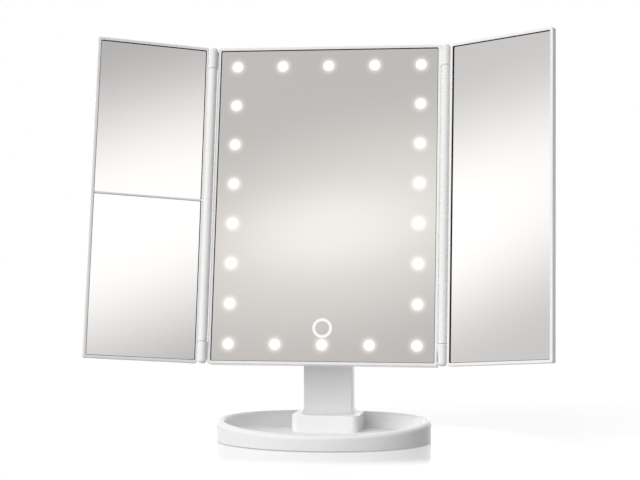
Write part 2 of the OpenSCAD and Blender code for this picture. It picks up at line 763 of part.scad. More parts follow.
module head_back() {
    box_w = box_in_w + 2 * box_wall;
    box_l = box_in_l + 2 * box_end;
    color(white) on_head() difference() {
        union() {
            difference() {
                hull() {
                    slab(head_w, head_h, corner_r, frame_depth, back_depth - back_bevel,
                        $fn = 32);
                    slab(head_w - 2 * back_taper, head_h - 2 * back_taper, corner_r,
                        back_y - back_bevel / 2, back_bevel / 2, $fn = 32);
                }
                slab(head_w - 2 * border, head_h - 2 * border, 1, frame_depth - over,
                    plate_in - frame_depth + over);
            }
            // lip that centres the cover inside the frame
            difference() {
                slab(glass_w - 2 * slide_gap, glass_h - 2 * slide_gap, 1,
                    frame_depth - guide_h, plate_in - frame_depth + guide_h + seat);
                slab(glass_w - 2 * slide_gap - 2 * guide_t,
                    glass_h - 2 * slide_gap - 2 * guide_t, 1, frame_depth - 2 * guide_h,
                    plate_in - frame_depth + 2 * guide_h);
            }
            bracket_screw_places()
                rod_y(0, 0, plate_in - bracket_boss_h, bracket_boss_h + seat, bracket_boss_r);
            // battery box
            block([-box_w / 2, box_floor, box_low - box_end],
                [box_w / 2, box_back, box_high + box_end]);
        }
        // room for the cells, the grooves of the cover and its way out at the top
        block([-box_in_w / 2, box_floor + box_floor_t, box_low],
            [box_in_w / 2, box_back + over, box_high]);
        block([-box_in_w / 2 - groove, cover_y - slide_gap, box_low - slide_gap],
            [box_in_w / 2 + groove, cover_y + cover_t + slide_gap, box_high + box_end + over]);
        block([-box_in_w / 2, cover_y - slide_gap, box_high - over],
            [box_in_w / 2, box_back + over, box_high + box_end + over]);
        for (p = head_screw_places) sunk_hole(p[0], p[1], back_y, back_wall);
        bracket_screw_places()
            rod_y(0, 0, plate_in - 2 * bracket_boss_h, 4 * bracket_boss_h, screw_d / 2 + seat);
        // windows for the switch and for the inlet
        switch_slot(plate_in - over, back_y + over);
        block([-outlet_x - inlet_w / 2 - slide_gap, plate_in - over,
                box_z - inlet_h / 2 - slide_gap],
            [-outlet_x + inlet_w / 2 + slide_gap, back_y + over,
                box_z + inlet_h / 2 + slide_gap]);
    }
}

// Slot that the switch's knob travels in, from y0 to y1
module switch_slot(y0, y1) {
    half = (switch_travel + knob[0]) / 2 + knob_room;
    block([outlet_x - half, y0, box_z - knob[1] / 2 - knob_room],
        [outlet_x + half, y1, box_z + knob[1] / 2 + knob_room]);
}

module head_screws()
    color(steel) on_head() for (p = head_screw_places)
        sunk_screw(p[0], p[1], back_y, head_screw_l);

module main_mirror() {
    color(mirror_grey) on_head() difference() {
        slab(glass_w - 2 * glass_gap, glass_h - 2 * glass_gap, corner_r / 2 - glass_gap,
            0, glass_t);
        for (p = led_places)
            rod_y(p[0], p[1], -over, glass_t + 2 * over, led_window_d / 2 + seat);
        touch_annulus(-over, over + touch_t, seat);
    }
}

// Ring of the touch mark from y to y + l, grown by g on both edges
module touch_annulus(y, l, g)
    difference() {
        rod_y(0, touch_z, y, l, touch_d / 2 + g);
        rod_y(0, touch_z, y - over, l + 2 * over, touch_d / 2 - touch_line - g);
    }

module main_mirror_tape() {
    w = glass_w - 2 * tape_in;
    h = glass_h - 2 * tape_in;
    color(tape_grey) on_head() {
        difference() {
            slab(w, h, tape_r, glass_t, tape_t);
            slab(w - 2 * tape_w, h - 2 * tape_w, tape_r, glass_t - over, tape_t + 2 * over);
        }
        for (x = [-1, 1]) translate([x * glass_w / 6, 0, glass_h / 30])
            slab(4 * tape_w, 0.62 * glass_h, tape_r, glass_t, tape_t);
    }
}

module led_windows()
    color("ivory") on_head() for (p = led_places)
        rod_y(p[0], p[1], 0, glass_t, led_window_d / 2);

module touch_ring() color("ivory") on_head() touch_annulus(0, touch_t, 0);

module led_strip() {
    color("whitesmoke") on_head() difference() {
        slab(2 * led_x + strip_w, 2 * led_z + strip_w, tape_r, web_back, strip_t);
        slab(2 * led_x - strip_w, 2 * led_z - strip_w, tape_r, web_back - over,
            strip_t + 2 * over);
    }
}

module leds()
    color("khaki") on_head() for (p = led_places)
        translate([p[0] - chip[0] / 2, web_back - chip[1], p[1] - chip[2] / 2]) cube(chip);

module control_board() {
    color("seagreen") on_head() difference() {
        block([-board[0] / 2, board_y, touch_z - board[2] / 2],
            [board[0] / 2, board_y + board[1], touch_z + board[2] / 2]);
        for (x = [-1, 1])
            rod_y(x * board_screw_x, touch_z, board_y - over, board[1] + 2 * over,
                board_screw_r + seat);
    }
    color("dimgray") on_head() for (p = board_parts)
        translate([p[0] - p[2] / 2, board_y + board[1], touch_z + p[1] - p[3] / 2])
            cube([p[2], p[4], p[3]]);
}

module touch_spring()
    color("goldenrod") on_head() difference() {
        rod_y(0, touch_z, glass_t, board_y - glass_t, spring_r);
        rod_y(0, touch_z, glass_t + spring_cap_t, board_y, spring_hollow_r);
    }

module board_screws()
    color(steel) on_head() for (x = [-1, 1]) {
        rod_y(x * board_screw_x, touch_z, board_y + board[1], board_screw_head[1],
            board_screw_head[0]);
        rod_y(x * board_screw_x, touch_z, web_back - board_screw_in,
            board_y + board[1] - web_back + board_screw_in + board_screw_head[1] / 2,
            board_screw_r);
    }

// Cell number i points up or down in turn
module batteries()
    color("slategray") on_head() for (i = [0:cells - 1])
        translate([cell_xs[i], cell_y, box_z + (i % 2 == 0 ? 1 : -1) * spring_l / 2])
            mirror([0, 0, i % 2]) {
                translate([0, 0, -cell_l / 2]) cylinder(d = cell_d, h = cell_l - cell_nub[1]);
                translate([0, 0, cell_l / 2 - 2 * cell_nub[1]])
                    cylinder(d = cell_nub[0], h = 2 * cell_nub[1]);
            }

module battery_contacts()
    color(steel) on_head() for (i = [0:cells - 1], s = [-1, 1])
        translate([cell_xs[i], cell_y, box_z + s * (box_in_l - contact_t) / 2])
            cube([contact_w, contact_w, contact_t], center = true);

module battery_springs()
    color(steel) on_head() for (i = [0:cells - 1]) {
        s = i % 2 == 0 ? -1 : 1;
        translate([cell_xs[i], cell_y, box_z + s * (box_in_l / 2 - contact_t)])
            mirror([0, 0, s > 0 ? 1 : 0])
                cylinder(r1 = cell_spring_r[0], r2 = cell_spring_r[1], h = spring_l);
    }

module battery_cover() {
    color(white) on_head() {
        block([-box_in_w / 2 - groove + slide_gap, cover_y, box_low],
            [box_in_w / 2 + groove - slide_gap, cover_y + cover_t, box_high + box_end]);
        for (k = [0:ridge[4] - 1])
            block([-ridge[0], cover_y + cover_t - seat, box_high - (k + 2) * ridge[3]],
                [ridge[0], cover_y + cover_t + ridge[2],
                    box_high - (k + 2) * ridge[3] + ridge[1]]);
    }
}

module switch_body() {
    color("dimgray") on_head() difference() {
        translate([outlet_x, plate_in - switch_box[1] / 2, box_z])
            cube(switch_box, center = true);
        switch_slot(plate_in - knob_in - light_gap, plate_in + over);
    }
}

// The knob stands at the left end of its slot
module switch_knob() {
    x = outlet_x - switch_travel / 2;
    color("dimgray") on_head() block([x - knob[0] / 2, plate_in - knob_in, box_z - knob[1] / 2],
        [x + knob[0] / 2, back_y + knob_out, box_z + knob[1] / 2]);
}

module usb_inlet() {
    shell = inlet_shell;
    low = [-outlet_x - inlet_w / 2, back_y - inlet_l, box_z - inlet_h / 2];
    high = [-outlet_x + inlet_w / 2, back_y, box_z + inlet_h / 2];
    color(steel) on_head() {
        difference() {
            block(low, high);
            block(low + [shell, shell, shell], high + [-shell, over, -shell]);
        }
        block(low + [5 * shell, shell - seat, inlet_h / 2 - shell],
            high + [-5 * shell, -2 * shell, -inlet_h / 2 + shell]);
    }
    // small board that holds the socket
    edge = inlet_board_edge;
    color("seagreen") on_head() block([low[0] - edge, low[1] - inlet_board_t, low[2] - edge],
        [high[0] + edge, low[1], high[2] + edge]);
}

// Each wire leaves its part and meets the next one square to the face
module wiring() {
    y = board_y + board[1] / 2;
    edge = board[0] / 2;
    side = box_in_w / 2 + box_wall;
    lane = side + 8;
    low = box_low + 8;
    color("firebrick") on_head() {
        wire([[outlet_x, y, box_z - switch_box[2] / 2], [outlet_x, y, box_z - 8],
            [lane, y, -pivot_down], [lane, y, touch_z + 14], [edge + 6, y, touch_z + 5],
            [edge, y, touch_z + 5]], wire_r);
        wire([[side, y, low], [side + 2, y, low], [side + 4, y, low - 3],
            [side + 4, y, touch_z + 15], [edge + 3, y, touch_z + 8], [edge, y, touch_z + 8]],
            wire_r);
    }
    color("black") on_head() {
        wire([[-outlet_x, y, box_z - inlet_h / 2 - inlet_board_edge], [-outlet_x, y, box_z - 9],
            [-lane, y, -pivot_down], [-lane, y, touch_z + 14], [-edge - 6, y, touch_z + 5],
            [-edge, y, touch_z + 5]], wire_r);
        // from the board to the light strip's inner edge
        wire([[-edge, y, touch_z - 2], [-edge - 4, y, touch_z - 2],
            [-edge - 9, web_back + wire_r + seat, touch_z - 5],
            [-edge - 9, web_back + wire_r + seat, -led_z + strip_w / 2]], wire_r);
    }
}

// Two pins of one hinge, on the right for side 1 and on the left for side -1
module hinge_pins(side)
    color(steel) on_head() for (up = [-1, 1])
        translate([side * hinge_x, axis_y, up * knuckle_z - pin_l / 2])
            cylinder(d = pin_d, h = pin_l);

module left_hinge_pins() hinge_pins(-1);

module right_hinge_pins() hinge_pins(1);

// ---- Wings ----------------------------------------------------------------------------

// Recess for a glass between heights low and high, in the wing's flat frame
module wing_pocket(low, high)
    translate([wing_open_x0 + wing_glass_w / 2, 0, (low + high) / 2])
        slab(wing_glass_w, high - low, corner_r / 2, axis_front - over, wing_recess + over);

// Glass of one pocket
module wing_glass(low, high)
    translate([wing_open_x0 + wing_glass_w / 2, 0, (low + high) / 2])
        slab(wing_glass_w - 2 * glass_gap, high - low - 2 * glass_gap,
            corner_r / 2 - glass_gap, axis_front + lip, wing_glass_t);

// Tape of one pocket: two upright strips
module wing_strips(low, high)
    for (s = [-1, 1]) translate([wing_open_x0 + wing_glass_w / 2 + s * wing_glass_w / 4, 0,
            (low + high) / 2])
        slab(3 * tape_w, high - low - 2 * tape_w, tape_r, axis_front + lip + wing_glass_t,
            tape_t);

// Frame of a wing with one pocket for each [low, high] pair
module wing_frame(pockets) {
    barrel_z = knuckle_z - barrel_gap;
    difference() {
        union() {
            translate([wing_x0 + wing_w / 2, 0, 0])
                slab(wing_w, head_h, corner_r, axis_front, wing_t);
            translate([0, 0, -barrel_z]) cylinder(r = barrel_r, h = 2 * barrel_z);
            block([0, axis_front, -barrel_z],
                [wing_x0 + hinge_border / 2, axis_front + leaf_t, barrel_z]);
        }
        for (p = pockets) wing_pocket(p[0], p[1]);
        for (up = [-1, 1])
            translate([0, 0, up * knuckle_z - pin_l / 2 - over])
                cylinder(d = pin_d + 2 * run_gap, h = pin_l + 2 * over);
    }
}

half_h = glass_h / 2;
left_pockets = [[-half_h, rib_z - rib_w / 2], [rib_z + rib_w / 2, half_h]];
right_pockets = [[-half_h, half_h]];

module left_wing_frame() color(white) on_wing(-1, left_open) wing_frame(left_pockets);

module left_upper_mirror()
    color(mirror_grey) on_wing(-1, left_open) wing_glass(left_pockets[1][0], left_pockets[1][1]);

module left_lower_mirror()
    color(mirror_grey) on_wing(-1, left_open) wing_glass(left_pockets[0][0], left_pockets[0][1]);

module left_wing_tape()
    color(tape_grey) on_wing(-1, left_open) for (p = left_pockets) wing_strips(p[0], p[1]);

module right_wing_frame() color(white) on_wing(1, right_open) wing_frame(right_pockets);

module right_mirror()
    color(mirror_grey) on_wing(1, right_open) wing_glass(-half_h, half_h);

module right_wing_tape()
    color(tape_grey) on_wing(1, right_open) wing_strips(-half_h, half_h);

base_tray();
pedestal();
base_plate();
base_plate_screws();
foot_pad();
neck();
neck_cover();
neck_cover_screws();
neck_foot_screws();
pedestal_screws();
tilt_bolt();
tilt_nut();
friction_washers();
pivot_caps();
tilt_bracket();
bracket_screws();
head_frame();
head_back();
head_screws();
main_mirror();
main_mirror_tape();
led_windows();
touch_ring();
led_strip();
leds();
control_board();
touch_spring();
board_screws();
batteries();
battery_contacts();
battery_springs();
usb_inlet();
switch_body();
wiring();
left_hinge_pins();
right_hinge_pins();
battery_cover();
switch_knob();
left_wing_frame();
left_upper_mirror();
left_lower_mirror();
left_wing_tape();
right_wing_frame();
right_mirror();
right_wing_tape();
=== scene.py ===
"""Trifold vanity mirror: an oval tray base, a pedestal and a flat neck carry a lit mirror head
that tilts, and two mirror wings hinge on its sides. Sizes are millimetres."""

import math

import bmesh
import bpy
from mathutils import Matrix, Vector


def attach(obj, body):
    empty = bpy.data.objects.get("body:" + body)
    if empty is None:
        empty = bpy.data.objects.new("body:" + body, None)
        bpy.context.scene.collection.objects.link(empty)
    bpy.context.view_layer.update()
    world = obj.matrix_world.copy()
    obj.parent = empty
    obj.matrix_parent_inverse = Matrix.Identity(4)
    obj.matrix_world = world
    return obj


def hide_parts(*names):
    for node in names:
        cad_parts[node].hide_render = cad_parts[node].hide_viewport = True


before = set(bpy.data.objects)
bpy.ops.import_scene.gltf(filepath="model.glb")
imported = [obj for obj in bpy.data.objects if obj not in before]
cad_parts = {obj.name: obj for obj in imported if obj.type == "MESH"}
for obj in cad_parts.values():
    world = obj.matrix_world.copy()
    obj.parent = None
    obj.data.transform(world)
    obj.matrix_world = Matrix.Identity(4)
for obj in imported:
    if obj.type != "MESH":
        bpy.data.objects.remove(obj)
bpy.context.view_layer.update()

# ---- Camera ----
# The product was photographed from a little to the right of its middle, level with the
# mirror, through a long lens, so that upright edges stay upright.

MM = 0.001
camera_azimuth = math.radians(8.46)
camera_rise = math.radians(0.36)
camera_distance = 1143
camera_target = (-2.5, 0, 146.5)
focal_length_px = 1568.7
picture_width_px = 640
film_width = 36


def linked(name, data):
    """A new object in the scene that holds the data."""
    made = bpy.data.objects.new(name, data)
    bpy.context.scene.collection.objects.link(made)
    return made


camera_data = bpy.data.cameras.new("camera")
camera_data.sensor_width = film_width
camera_data.lens = film_width * focal_length_px / picture_width_px
camera = linked("camera", camera_data)
bpy.context.scene.camera = camera
looking = Vector((
    -math.sin(camera_azimuth) * math.cos(camera_rise),
    math.cos(camera_azimuth) * math.cos(camera_rise),
    -math.sin(camera_rise),
))
camera.location = (Vector(camera_target) - looking * camera_distance) * MM
camera.rotation_euler = (math.pi / 2 - camera_rise, 0, camera_azimuth)

# ---- Studio ----
# A white sweep of glossy paper under and behind the product, two large soft lamps in front on
# the left, one low behind it, and soft panels that the mirrors and the gloss pick up.

view = bpy.context.scene.view_settings
view.view_transform = "Standard"


def linear(hex_colour):
    """The linear colour of an sRGB hex value."""
    channels = [int(hex_colour[i : i + 2], 16) / 255 for i in (1, 3, 5)]
    return tuple(
        c / 12.92 if c <= 0.04045 else ((c + 0.055) / 1.055) ** 2.4 for c in channels
    ) + (1,)


def add(tree, kind, wires={}, **settings):
    """Adds a node with its settings. wires gives each input a value, another node's output,
    or another node, which stands for its first output."""
    made = tree.nodes.new(kind)
    for name, value in settings.items():
        setattr(made, name, value)
    for socket, value in wires.items():
        if isinstance(value, bpy.types.Node):
            value = value.outputs[0]
        if isinstance(value, bpy.types.NodeSocket):
            tree.links.new(value, made.inputs[socket])
        else:
            made.inputs[socket].default_value = value
    return made


def material(name):
    """A new material, its empty node tree, and the object's own coordinates in that tree."""
    made = bpy.data.materials.new(name)
    made.use_nodes = True
    made.node_tree.nodes.clear()
    return made, made.node_tree, add(made.node_tree, "ShaderNodeTexCoord").outputs["Object"]


room = bpy.data.worlds.new("studio")
bpy.context.scene.world = room
room.use_nodes = True
air = room.node_tree
air.nodes.clear()
around = add(air, "ShaderNodeTexCoord").outputs["Generated"]
split = add(air, "ShaderNodeSeparateXYZ", {0: around})
up_angle = add(air, "ShaderNodeMath", {0: split.outputs["Z"]}, operation="ARCSINE")
towards = add(air, "ShaderNodeMath", {0: split.outputs["Y"], 1: -1.0}, operation="MULTIPLY")
side_angle = add(air, "ShaderNodeMath", {0: split.outputs["X"], 1: towards}, operation="ARCTAN2")
bearing = add(air, "ShaderNodeCombineXYZ", {0: side_angle, 1: up_angle})
# The walls are grey and a little darker on the right
wall_left, wall_right = 0.638, 0.416
glow = add(air, "ShaderNodeMapRange", {0: split.outputs["X"], 1: -1.0, 2: 1.0, 3: wall_left,
           4: wall_right})
# What lies over them: what it goes by, where it starts and ends, its power at both
for value, start, end, power, end_power in (
    # a bright band at their foot
    (up_angle, math.radians(4), math.radians(11), 0.48, 0.0),
    # a lighter ceiling
    (up_angle, math.radians(30), math.radians(70), 0.0, 0.4),
    # the white paper that sweeps up behind the product
    (split.outputs["Y"], 0.1, 0.6, 0.0, 0.5),
):
    more = add(air, "ShaderNodeMapRange", {0: value, 1: start, 2: end, 3: power, 4: end_power},
               interpolation_type="SMOOTHERSTEP")
    glow = add(air, "ShaderNodeMath", {0: glow, 1: more}, operation="ADD")
# Each soft panel: bearing and height of its middle, half width and half height, lean, power
soft_panels = (
    (-7.3, 20.0, 14.0, 5.7, 15.4, 0.27),
    (-8.8, 19.8, 6.2, 2.5, 8.8, 0.124),
    (34.5, 18.1, 30.0, 7.4, 12.9, 0.623),
    (-64.7, 12.35, 30.0, 6.05, 31.9, 0.527),
)
for middle, height, half_width, half_height, lean, power in soft_panels:
    spot = add(air, "ShaderNodeMapping", {
        "Vector": bearing,
        "Location": (math.radians(middle), math.radians(height), 0),
        "Rotation": (0, 0, math.radians(lean)),
        "Scale": (math.radians(half_width), math.radians(half_height), 1),
    }, vector_type="TEXTURE")
    away = add(air, "ShaderNodeVectorMath", {0: spot}, operation="LENGTH")
    panel = add(air, "ShaderNodeMapRange", {0: away.outputs["Value"], 1: 0.0, 2: 1.0, 3: power,
                4: 0.0}, interpolation_type="SMOOTHERSTEP")
    glow = add(air, "ShaderNodeMath", {0: glow, 1: panel}, operation="ADD")
rays = add(air, "ShaderNodeLightPath")
seen_in_gloss = add(air, "ShaderNodeBackground", {"Color": glow, "Strength": 1.0})
ambient = add(air, "ShaderNodeBackground", {"Color": (1, 1, 1, 1), "Strength": 0.2})
backdrop = add(air, "ShaderNodeBackground", {"Color": (1, 1, 1, 1), "Strength": 1.0})
gloss_or_not = add(air, "ShaderNodeMixShader", {0: rays.outputs["Is Glossy Ray"],
                   1: ambient, 2: seen_in_gloss})
direct = add(air, "ShaderNodeMath", {0: rays.outputs["Is Camera Ray"],
             1: rays.outputs["Is Transmission Ray"]}, operation="MAXIMUM")
all_rays = add(air, "ShaderNodeMixShader", {0: direct, 1: gloss_or_not,
               2: backdrop})
add(air, "ShaderNodeOutputWorld", {0: all_rays})

# Lamps: name, bearing to the left of the front, height, power, softness
for name, left_of_front, height, power, softness in (
    ("high_left", 30, 50, 1.1, 35),
    ("low_left", 34, 25, 1.5, 50),
    ("behind", -165, 20, 1.35, 50),
):
    lamp = bpy.data.lights.new(name, "SUN")
    lamp.energy = power
    lamp.angle = math.radians(softness)
    holder = linked(name, lamp)
    holder.rotation_euler = (math.radians(90 - height), 0, -math.radians(left_of_front))
    holder.visible_glossy = False

# White seamless paper: it shows as white, keeps the soft shadow and mirrors the base faintly
paper_half_width, paper_drop = 6000, 0.05
paper_mesh = bpy.data.meshes.new("paper")
paper_mesh.from_pydata([(x * paper_half_width * MM, y * paper_half_width * MM, -paper_drop * MM)
                        for x, y in ((-1, -1), (1, -1), (1, 1), (-1, 1))], [], [(0, 1, 2, 3)])
paper = linked("paper", paper_mesh)
paper_white, tree, at = material("seamless_paper")
rays = add(tree, "ShaderNodeLightPath")
seen = rays.outputs["Is Camera Ray"]
for kind in ("Is Glossy Ray", "Is Transmission Ray"):
    seen = add(tree, "ShaderNodeMath", {0: seen, 1: rays.outputs[kind]},
               operation="MAXIMUM")
grain = add(tree, "ShaderNodeTexNoise", {"Scale": 900.0, "Detail": 2.0})
fleck = add(tree, "ShaderNodeMapRange", {0: grain.outputs["Fac"], 3: 0.47, 4: 0.5})
lit = add(tree, "ShaderNodeBsdfDiffuse", {"Color": fleck})
soft_lit = add(tree, "ShaderNodeBsdfDiffuse", {"Color": (0.21, 0.21, 0.21, 1)})
white = add(tree, "ShaderNodeEmission", {"Color": (1, 1, 1, 1), "Strength": 0.85})
matt = add(tree, "ShaderNodeAddShader", {0: soft_lit, 1: white})
# The sheen mirrors the base sharply and fades out 30 to 70 mm in front of it,
sheen_start, sheen_end, sheen_most, sheen_least = 88, 128, 0.54, 0.03
shine = add(tree, "ShaderNodeBsdfAnisotropic", {"Color": (1, 1, 1, 1), "Roughness": 0.04})
spot = add(tree, "ShaderNodeMapping", {"Vector": at, "Scale": (0.73, 1, 1)})
away = add(tree, "ShaderNodeVectorMath", {0: spot}, operation="LENGTH")
close = add(tree, "ShaderNodeMapRange", {
    0: away.outputs["Value"], 1: sheen_start * MM, 2: sheen_end * MM, 3: sheen_most,
    4: sheen_least}, interpolation_type="SMOOTHSTEP")
# and shows only when the eye is low over the paper, under some 20 degrees
low_eye = add(tree, "ShaderNodeMapRange", {
    0: add(tree, "ShaderNodeLayerWeight", {"Blend": 0.5}).outputs["Facing"],
    1: 0.65, 2: 0.84, 3: 0.0, 4: 1.0}, interpolation_type="SMOOTHSTEP")
sheen = add(tree, "ShaderNodeMath", {0: close, 1: low_eye},
            operation="MULTIPLY")
as_seen = add(tree, "ShaderNodeMixShader", {0: sheen, 1: matt,
              2: shine})
both = add(tree, "ShaderNodeMixShader", {0: seen, 1: lit, 2: as_seen})
add(tree, "ShaderNodeOutputMaterial", {"Surface": both})
paper_white.cycles.emission_sampling = "NONE"
paper_mesh.materials.append(paper_white)

# ---- Oval tray ----
# One injection-moulded shell of glossy white ABS. Its rim rises towards the back and the
# sides, is rounded outside and inside, and runs down in a soft curve to a flat floor.

base_half_width, base_half_depth = 78.5, 57
rim_side, rim_front, rim_back = 15.8, 10.8, 16.4
rim_r, rim_flat, rim_inner_r = 3, 0.6, 2.5
slope_end, floor_z = 11, 5.6
tray_foot, tray_bevel = 0.25, 0.3  # the tray's lower edge ends just above the table
plate_recess, plate_room = 2.4, 2.6
slope_steps, slope_power = 14, 2.3
oval_steps = 220
sharp_from = math.radians(40)


def moulded(piece, *skins):
    """Gives a piece its materials and shades its fillets smooth and its flats flat."""
    for skin in skins:
        piece.data.materials.append(skin)
    piece.data.shade_smooth()
    piece.data.set_sharp_from_angle(angle=sharp_from)
    weighted = piece.modifiers.new("weighted", "WEIGHTED_NORMAL")
    weighted.keep_sharp = True
    return plain(piece)


def plain(piece):
    """Turns what the piece's modifiers make into its plain mesh."""
    seen_by = piece.evaluated_get(bpy.context.evaluated_depsgraph_get())
    made = bpy.data.meshes.new_from_object(seen_by)
    piece.modifiers.clear()
    piece.data = made
    return piece


def solid(name, rings, place=Matrix(), bands={}):
    """A closed skin through rings of points in millimetres, with flat ends. place turns it
    into position, and bands gives the strip after a ring another material."""
    steps = len(rings[0])
    shape = bmesh.new()
    points = [[shape.verts.new(Vector(p) * MM) for p in ring] for ring in rings]
    for k in range(len(rings) - 1):
        for i in range(steps):
            j = (i + 1) % steps
            face = shape.faces.new((points[k][i], points[k][j],
                                    points[k + 1][j], points[k + 1][i]))
            face.material_index = bands.get(k, 0)
    shape.faces.new(points[0])
    shape.faces.new(points[-1])
    shape.transform(place)
    bmesh.ops.remove_doubles(shape, verts=shape.verts, dist=0.002 * MM)
    bmesh.ops.recalc_face_normals(shape, faces=shape.faces)
    mesh = bpy.data.meshes.new(name)
    shape.to_mesh(mesh)
    shape.free()
    return linked(name, mesh)


def quarter(steps):
    """Angles of a quarter turn."""
    return [math.pi / 2 * i / steps for i in range(steps + 1)]


def fillet(radius, steps):
    """Points round an edge, from the side to the face: how far in and how far down each is."""
    return [(radius * (1 - math.cos(t)), radius * (1 - math.sin(t))) for t in quarter(steps)]


def rim_rise(y):
    """Height that the rim gains at y."""
    slope = (rim_back - rim_front) / (2 * base_half_depth)
    arch = rim_side - (rim_front + rim_back) / 2
    return slope * y - arch * (y / base_half_depth) ** 2


def oval(inset, z, share=0.0):
    """Ring round the base, inset from its edge, that follows a share of the rim's rise."""
    ring = []
    for i in range(oval_steps):
        turn = 2 * math.pi * i / oval_steps
        x = (base_half_width - inset) * math.cos(turn)
        y = (base_half_depth - inset) * math.sin(turn)
        ring.append((x, y, z + share * rim_rise(y)))
    return ring


def two_tone(name, scale, detail, dark, light):
    """Starts a material whose colour wanders between two shades, over 1000 / scale mm. Gives
    the material, its tree, the object's coordinates, the colour and what it wanders by."""
    made, tree, at = material(name)
    grain = add(tree, "ShaderNodeTexNoise", {"Vector": at, "Scale": scale, "Detail": detail})
    shade = add(tree, "ShaderNodeMix", {0: grain.outputs["Fac"], 6: linear(dark),
                7: linear(light)}, data_type="RGBA")
    return made, tree, at, shade.outputs[2], grain.outputs["Fac"]


# Glossy ABS, moulded in a polished tool: clean neutral white, a clear sheen, a trace of flow.
# The flow marks are some 30 mm across and shift the white by less than two hundredths.
abs_white, tree, at, shade, _ = two_tone("glossy_white_abs", 35.0, 3.0, "#efefef", "#f3f3f3")
# handling marks some 8 mm across dull the gloss here and there
marks = add(tree, "ShaderNodeTexNoise", {"Vector": at, "Scale": 120.0, "Detail": 5.0,
            "Roughness": 0.6})
gloss = add(tree, "ShaderNodeMapRange", {0: marks.outputs["Fac"], 1: 0.3, 2: 0.75, 3: 0.22,
            4: 0.26})
# polishing ripple: 0.3 mm apart on the tool, drawn 1 mm apart so that a close view shows it
ripple = add(tree, "ShaderNodeTexNoise", {"Vector": at, "Scale": 1000.0, "Detail": 2.0})
skin_bump = add(tree, "ShaderNodeBump", {"Height": ripple.outputs["Fac"], "Strength": 0.03,
                "Distance": 0.00003})
body = add(tree, "ShaderNodeBsdfPrincipled", {"Base Color": shade,
           "Roughness": gloss, "IOR": 1.53, "Normal": skin_bump})
add(tree, "ShaderNodeOutputMaterial", {"Surface": body})

rim_crest = rim_r + rim_flat
slope_top = rim_crest + rim_inner_r
slope_drop = rim_side - rim_inner_r - floor_z
rings = [oval(plate_recess, plate_room), oval(plate_recess, tray_foot),
         oval(tray_bevel, tray_foot), oval(0, tray_foot + tray_bevel)]
for inward, down in fillet(rim_r, 8):
    rings.append(oval(inward, rim_side - down, 1))
for turn in quarter(8):
    rings.append(oval(rim_crest + rim_inner_r * math.sin(turn),
                      rim_side - rim_inner_r * (1 - math.cos(turn)), 1))
for i in range(1, slope_steps + 1):
    left = (1 - i / slope_steps) ** slope_power
    rings.append(oval(slope_top + (slope_end - slope_top) * i / slope_steps,
                      floor_z + slope_drop * left, left))
tray = moulded(solid("tray", rings), abs_white)
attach(tray, "base")
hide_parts("base_tray")

# ---- Bottom plate and anti-slip pad ----
# A flat moulded plate closes the tray from below, and a sheet of soft rubber with a fine
# pebbled face is glued to it so that the mirror doesn't slide.


def dress(skin, *names):
    """Gives solids that keep their shape a material."""
    for name in names:
        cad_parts[name].material_slots[0].material = skin


dress(abs_white, "base_plate")

# Moulded rubber: matt dark grey with a pebbled skin
rubber, tree, at, shade, _ = two_tone("pebbled_grey_rubber", 60.0, 4.0, "#4b4d50", "#5c5e61")
# pebbles 1.2 mm apart
pebbles = add(tree, "ShaderNodeTexVoronoi", {"Vector": at, "Scale": 830.0})
pebble_bump = add(tree, "ShaderNodeBump", {"Height": pebbles.outputs["Distance"],
                  "Strength": 0.5, "Distance": 0.0002})
body = add(tree, "ShaderNodeBsdfPrincipled", {"Base Color": shade,
           "Roughness": 0.78, "IOR": 1.5, "Normal": pebble_bump})
add(tree, "ShaderNodeOutputMaterial", {"Surface": body})
dress(rubber, "foot_pad")

# ---- Screws of the bottom plate ----
# Four countersunk steel screws with cross recesses hold the plate. One head is shaped once
# and Geometry Nodes drive it into every hole, here and further on.

screw_head_r, screw_r, screw_tip, screw_turn = 2.4, 1.2, 0.6, 0.7
cross_long, cross_wide, cross_deep = 1.35, 0.34, 0.75
plate_z, plate_screw_inset, plate_screw_turns = 1.2, 5, (35, 145, 215, 325)
plate_screw_l = 5.1

# Nickel-plated steel, cold headed: bright warm grey metal, slightly cloudy
steel, tree, at, shade, plating = two_tone("nickel_plated_steel", 450.0, 4.0, "#969189",
                                           "#b6b1a8")
wear = add(tree, "ShaderNodeMapRange", {0: plating, 3: 0.2, 4: 0.42})
scratch = add(tree, "ShaderNodeBump", {"Height": plating, "Strength": 0.15, "Distance": 0.00005})
body = add(tree, "ShaderNodeBsdfPrincipled", {"Base Color": shade, "Metallic": 1.0,
           "Roughness": wear, "Normal": scratch})
add(tree, "ShaderNodeOutputMaterial", {"Surface": body})


def circle(radius, steps=24):
    """Points of a circle."""
    turns = [2 * math.pi * i / steps for i in range(steps)]
    return [(radius * math.cos(turn), radius * math.sin(turn)) for turn in turns]


def turned(name, profile, steps=24, place=Matrix()):
    """A turned solid about Z through [radius, height] pairs."""
    return solid(name, [[(x, y, z) for x, y in circle(r, steps)] for r, z in profile], place)


def rounded(width, height, radius, middle=(0, 0), steps=6):
    """Points of a rectangle with round corners, from its right upper corner."""
    radius = max(radius, 0.02)
    points = []
    for quadrant, (sx, sy) in enumerate(((1, 1), (-1, 1), (-1, -1), (1, -1))):
        for i in range(steps + 1):
            turn = math.pi / 2 * (quadrant + i / steps)
            points.append((middle[0] + sx * (width / 2 - radius) + radius * math.cos(turn),
                           middle[1] + sy * (height / 2 - radius) + radius * math.sin(turn)))
    return points


def combine(piece, others, operation="UNION"):
    """Joins other solids to the piece, or cuts them out of it, and uses them up."""
    for other in others:
        step = piece.modifiers.new("combine", "BOOLEAN")
        step.operation = operation
        step.solver = "EXACT"
        step.object = other
        plain(piece)
        bpy.data.objects.remove(other)
    return piece


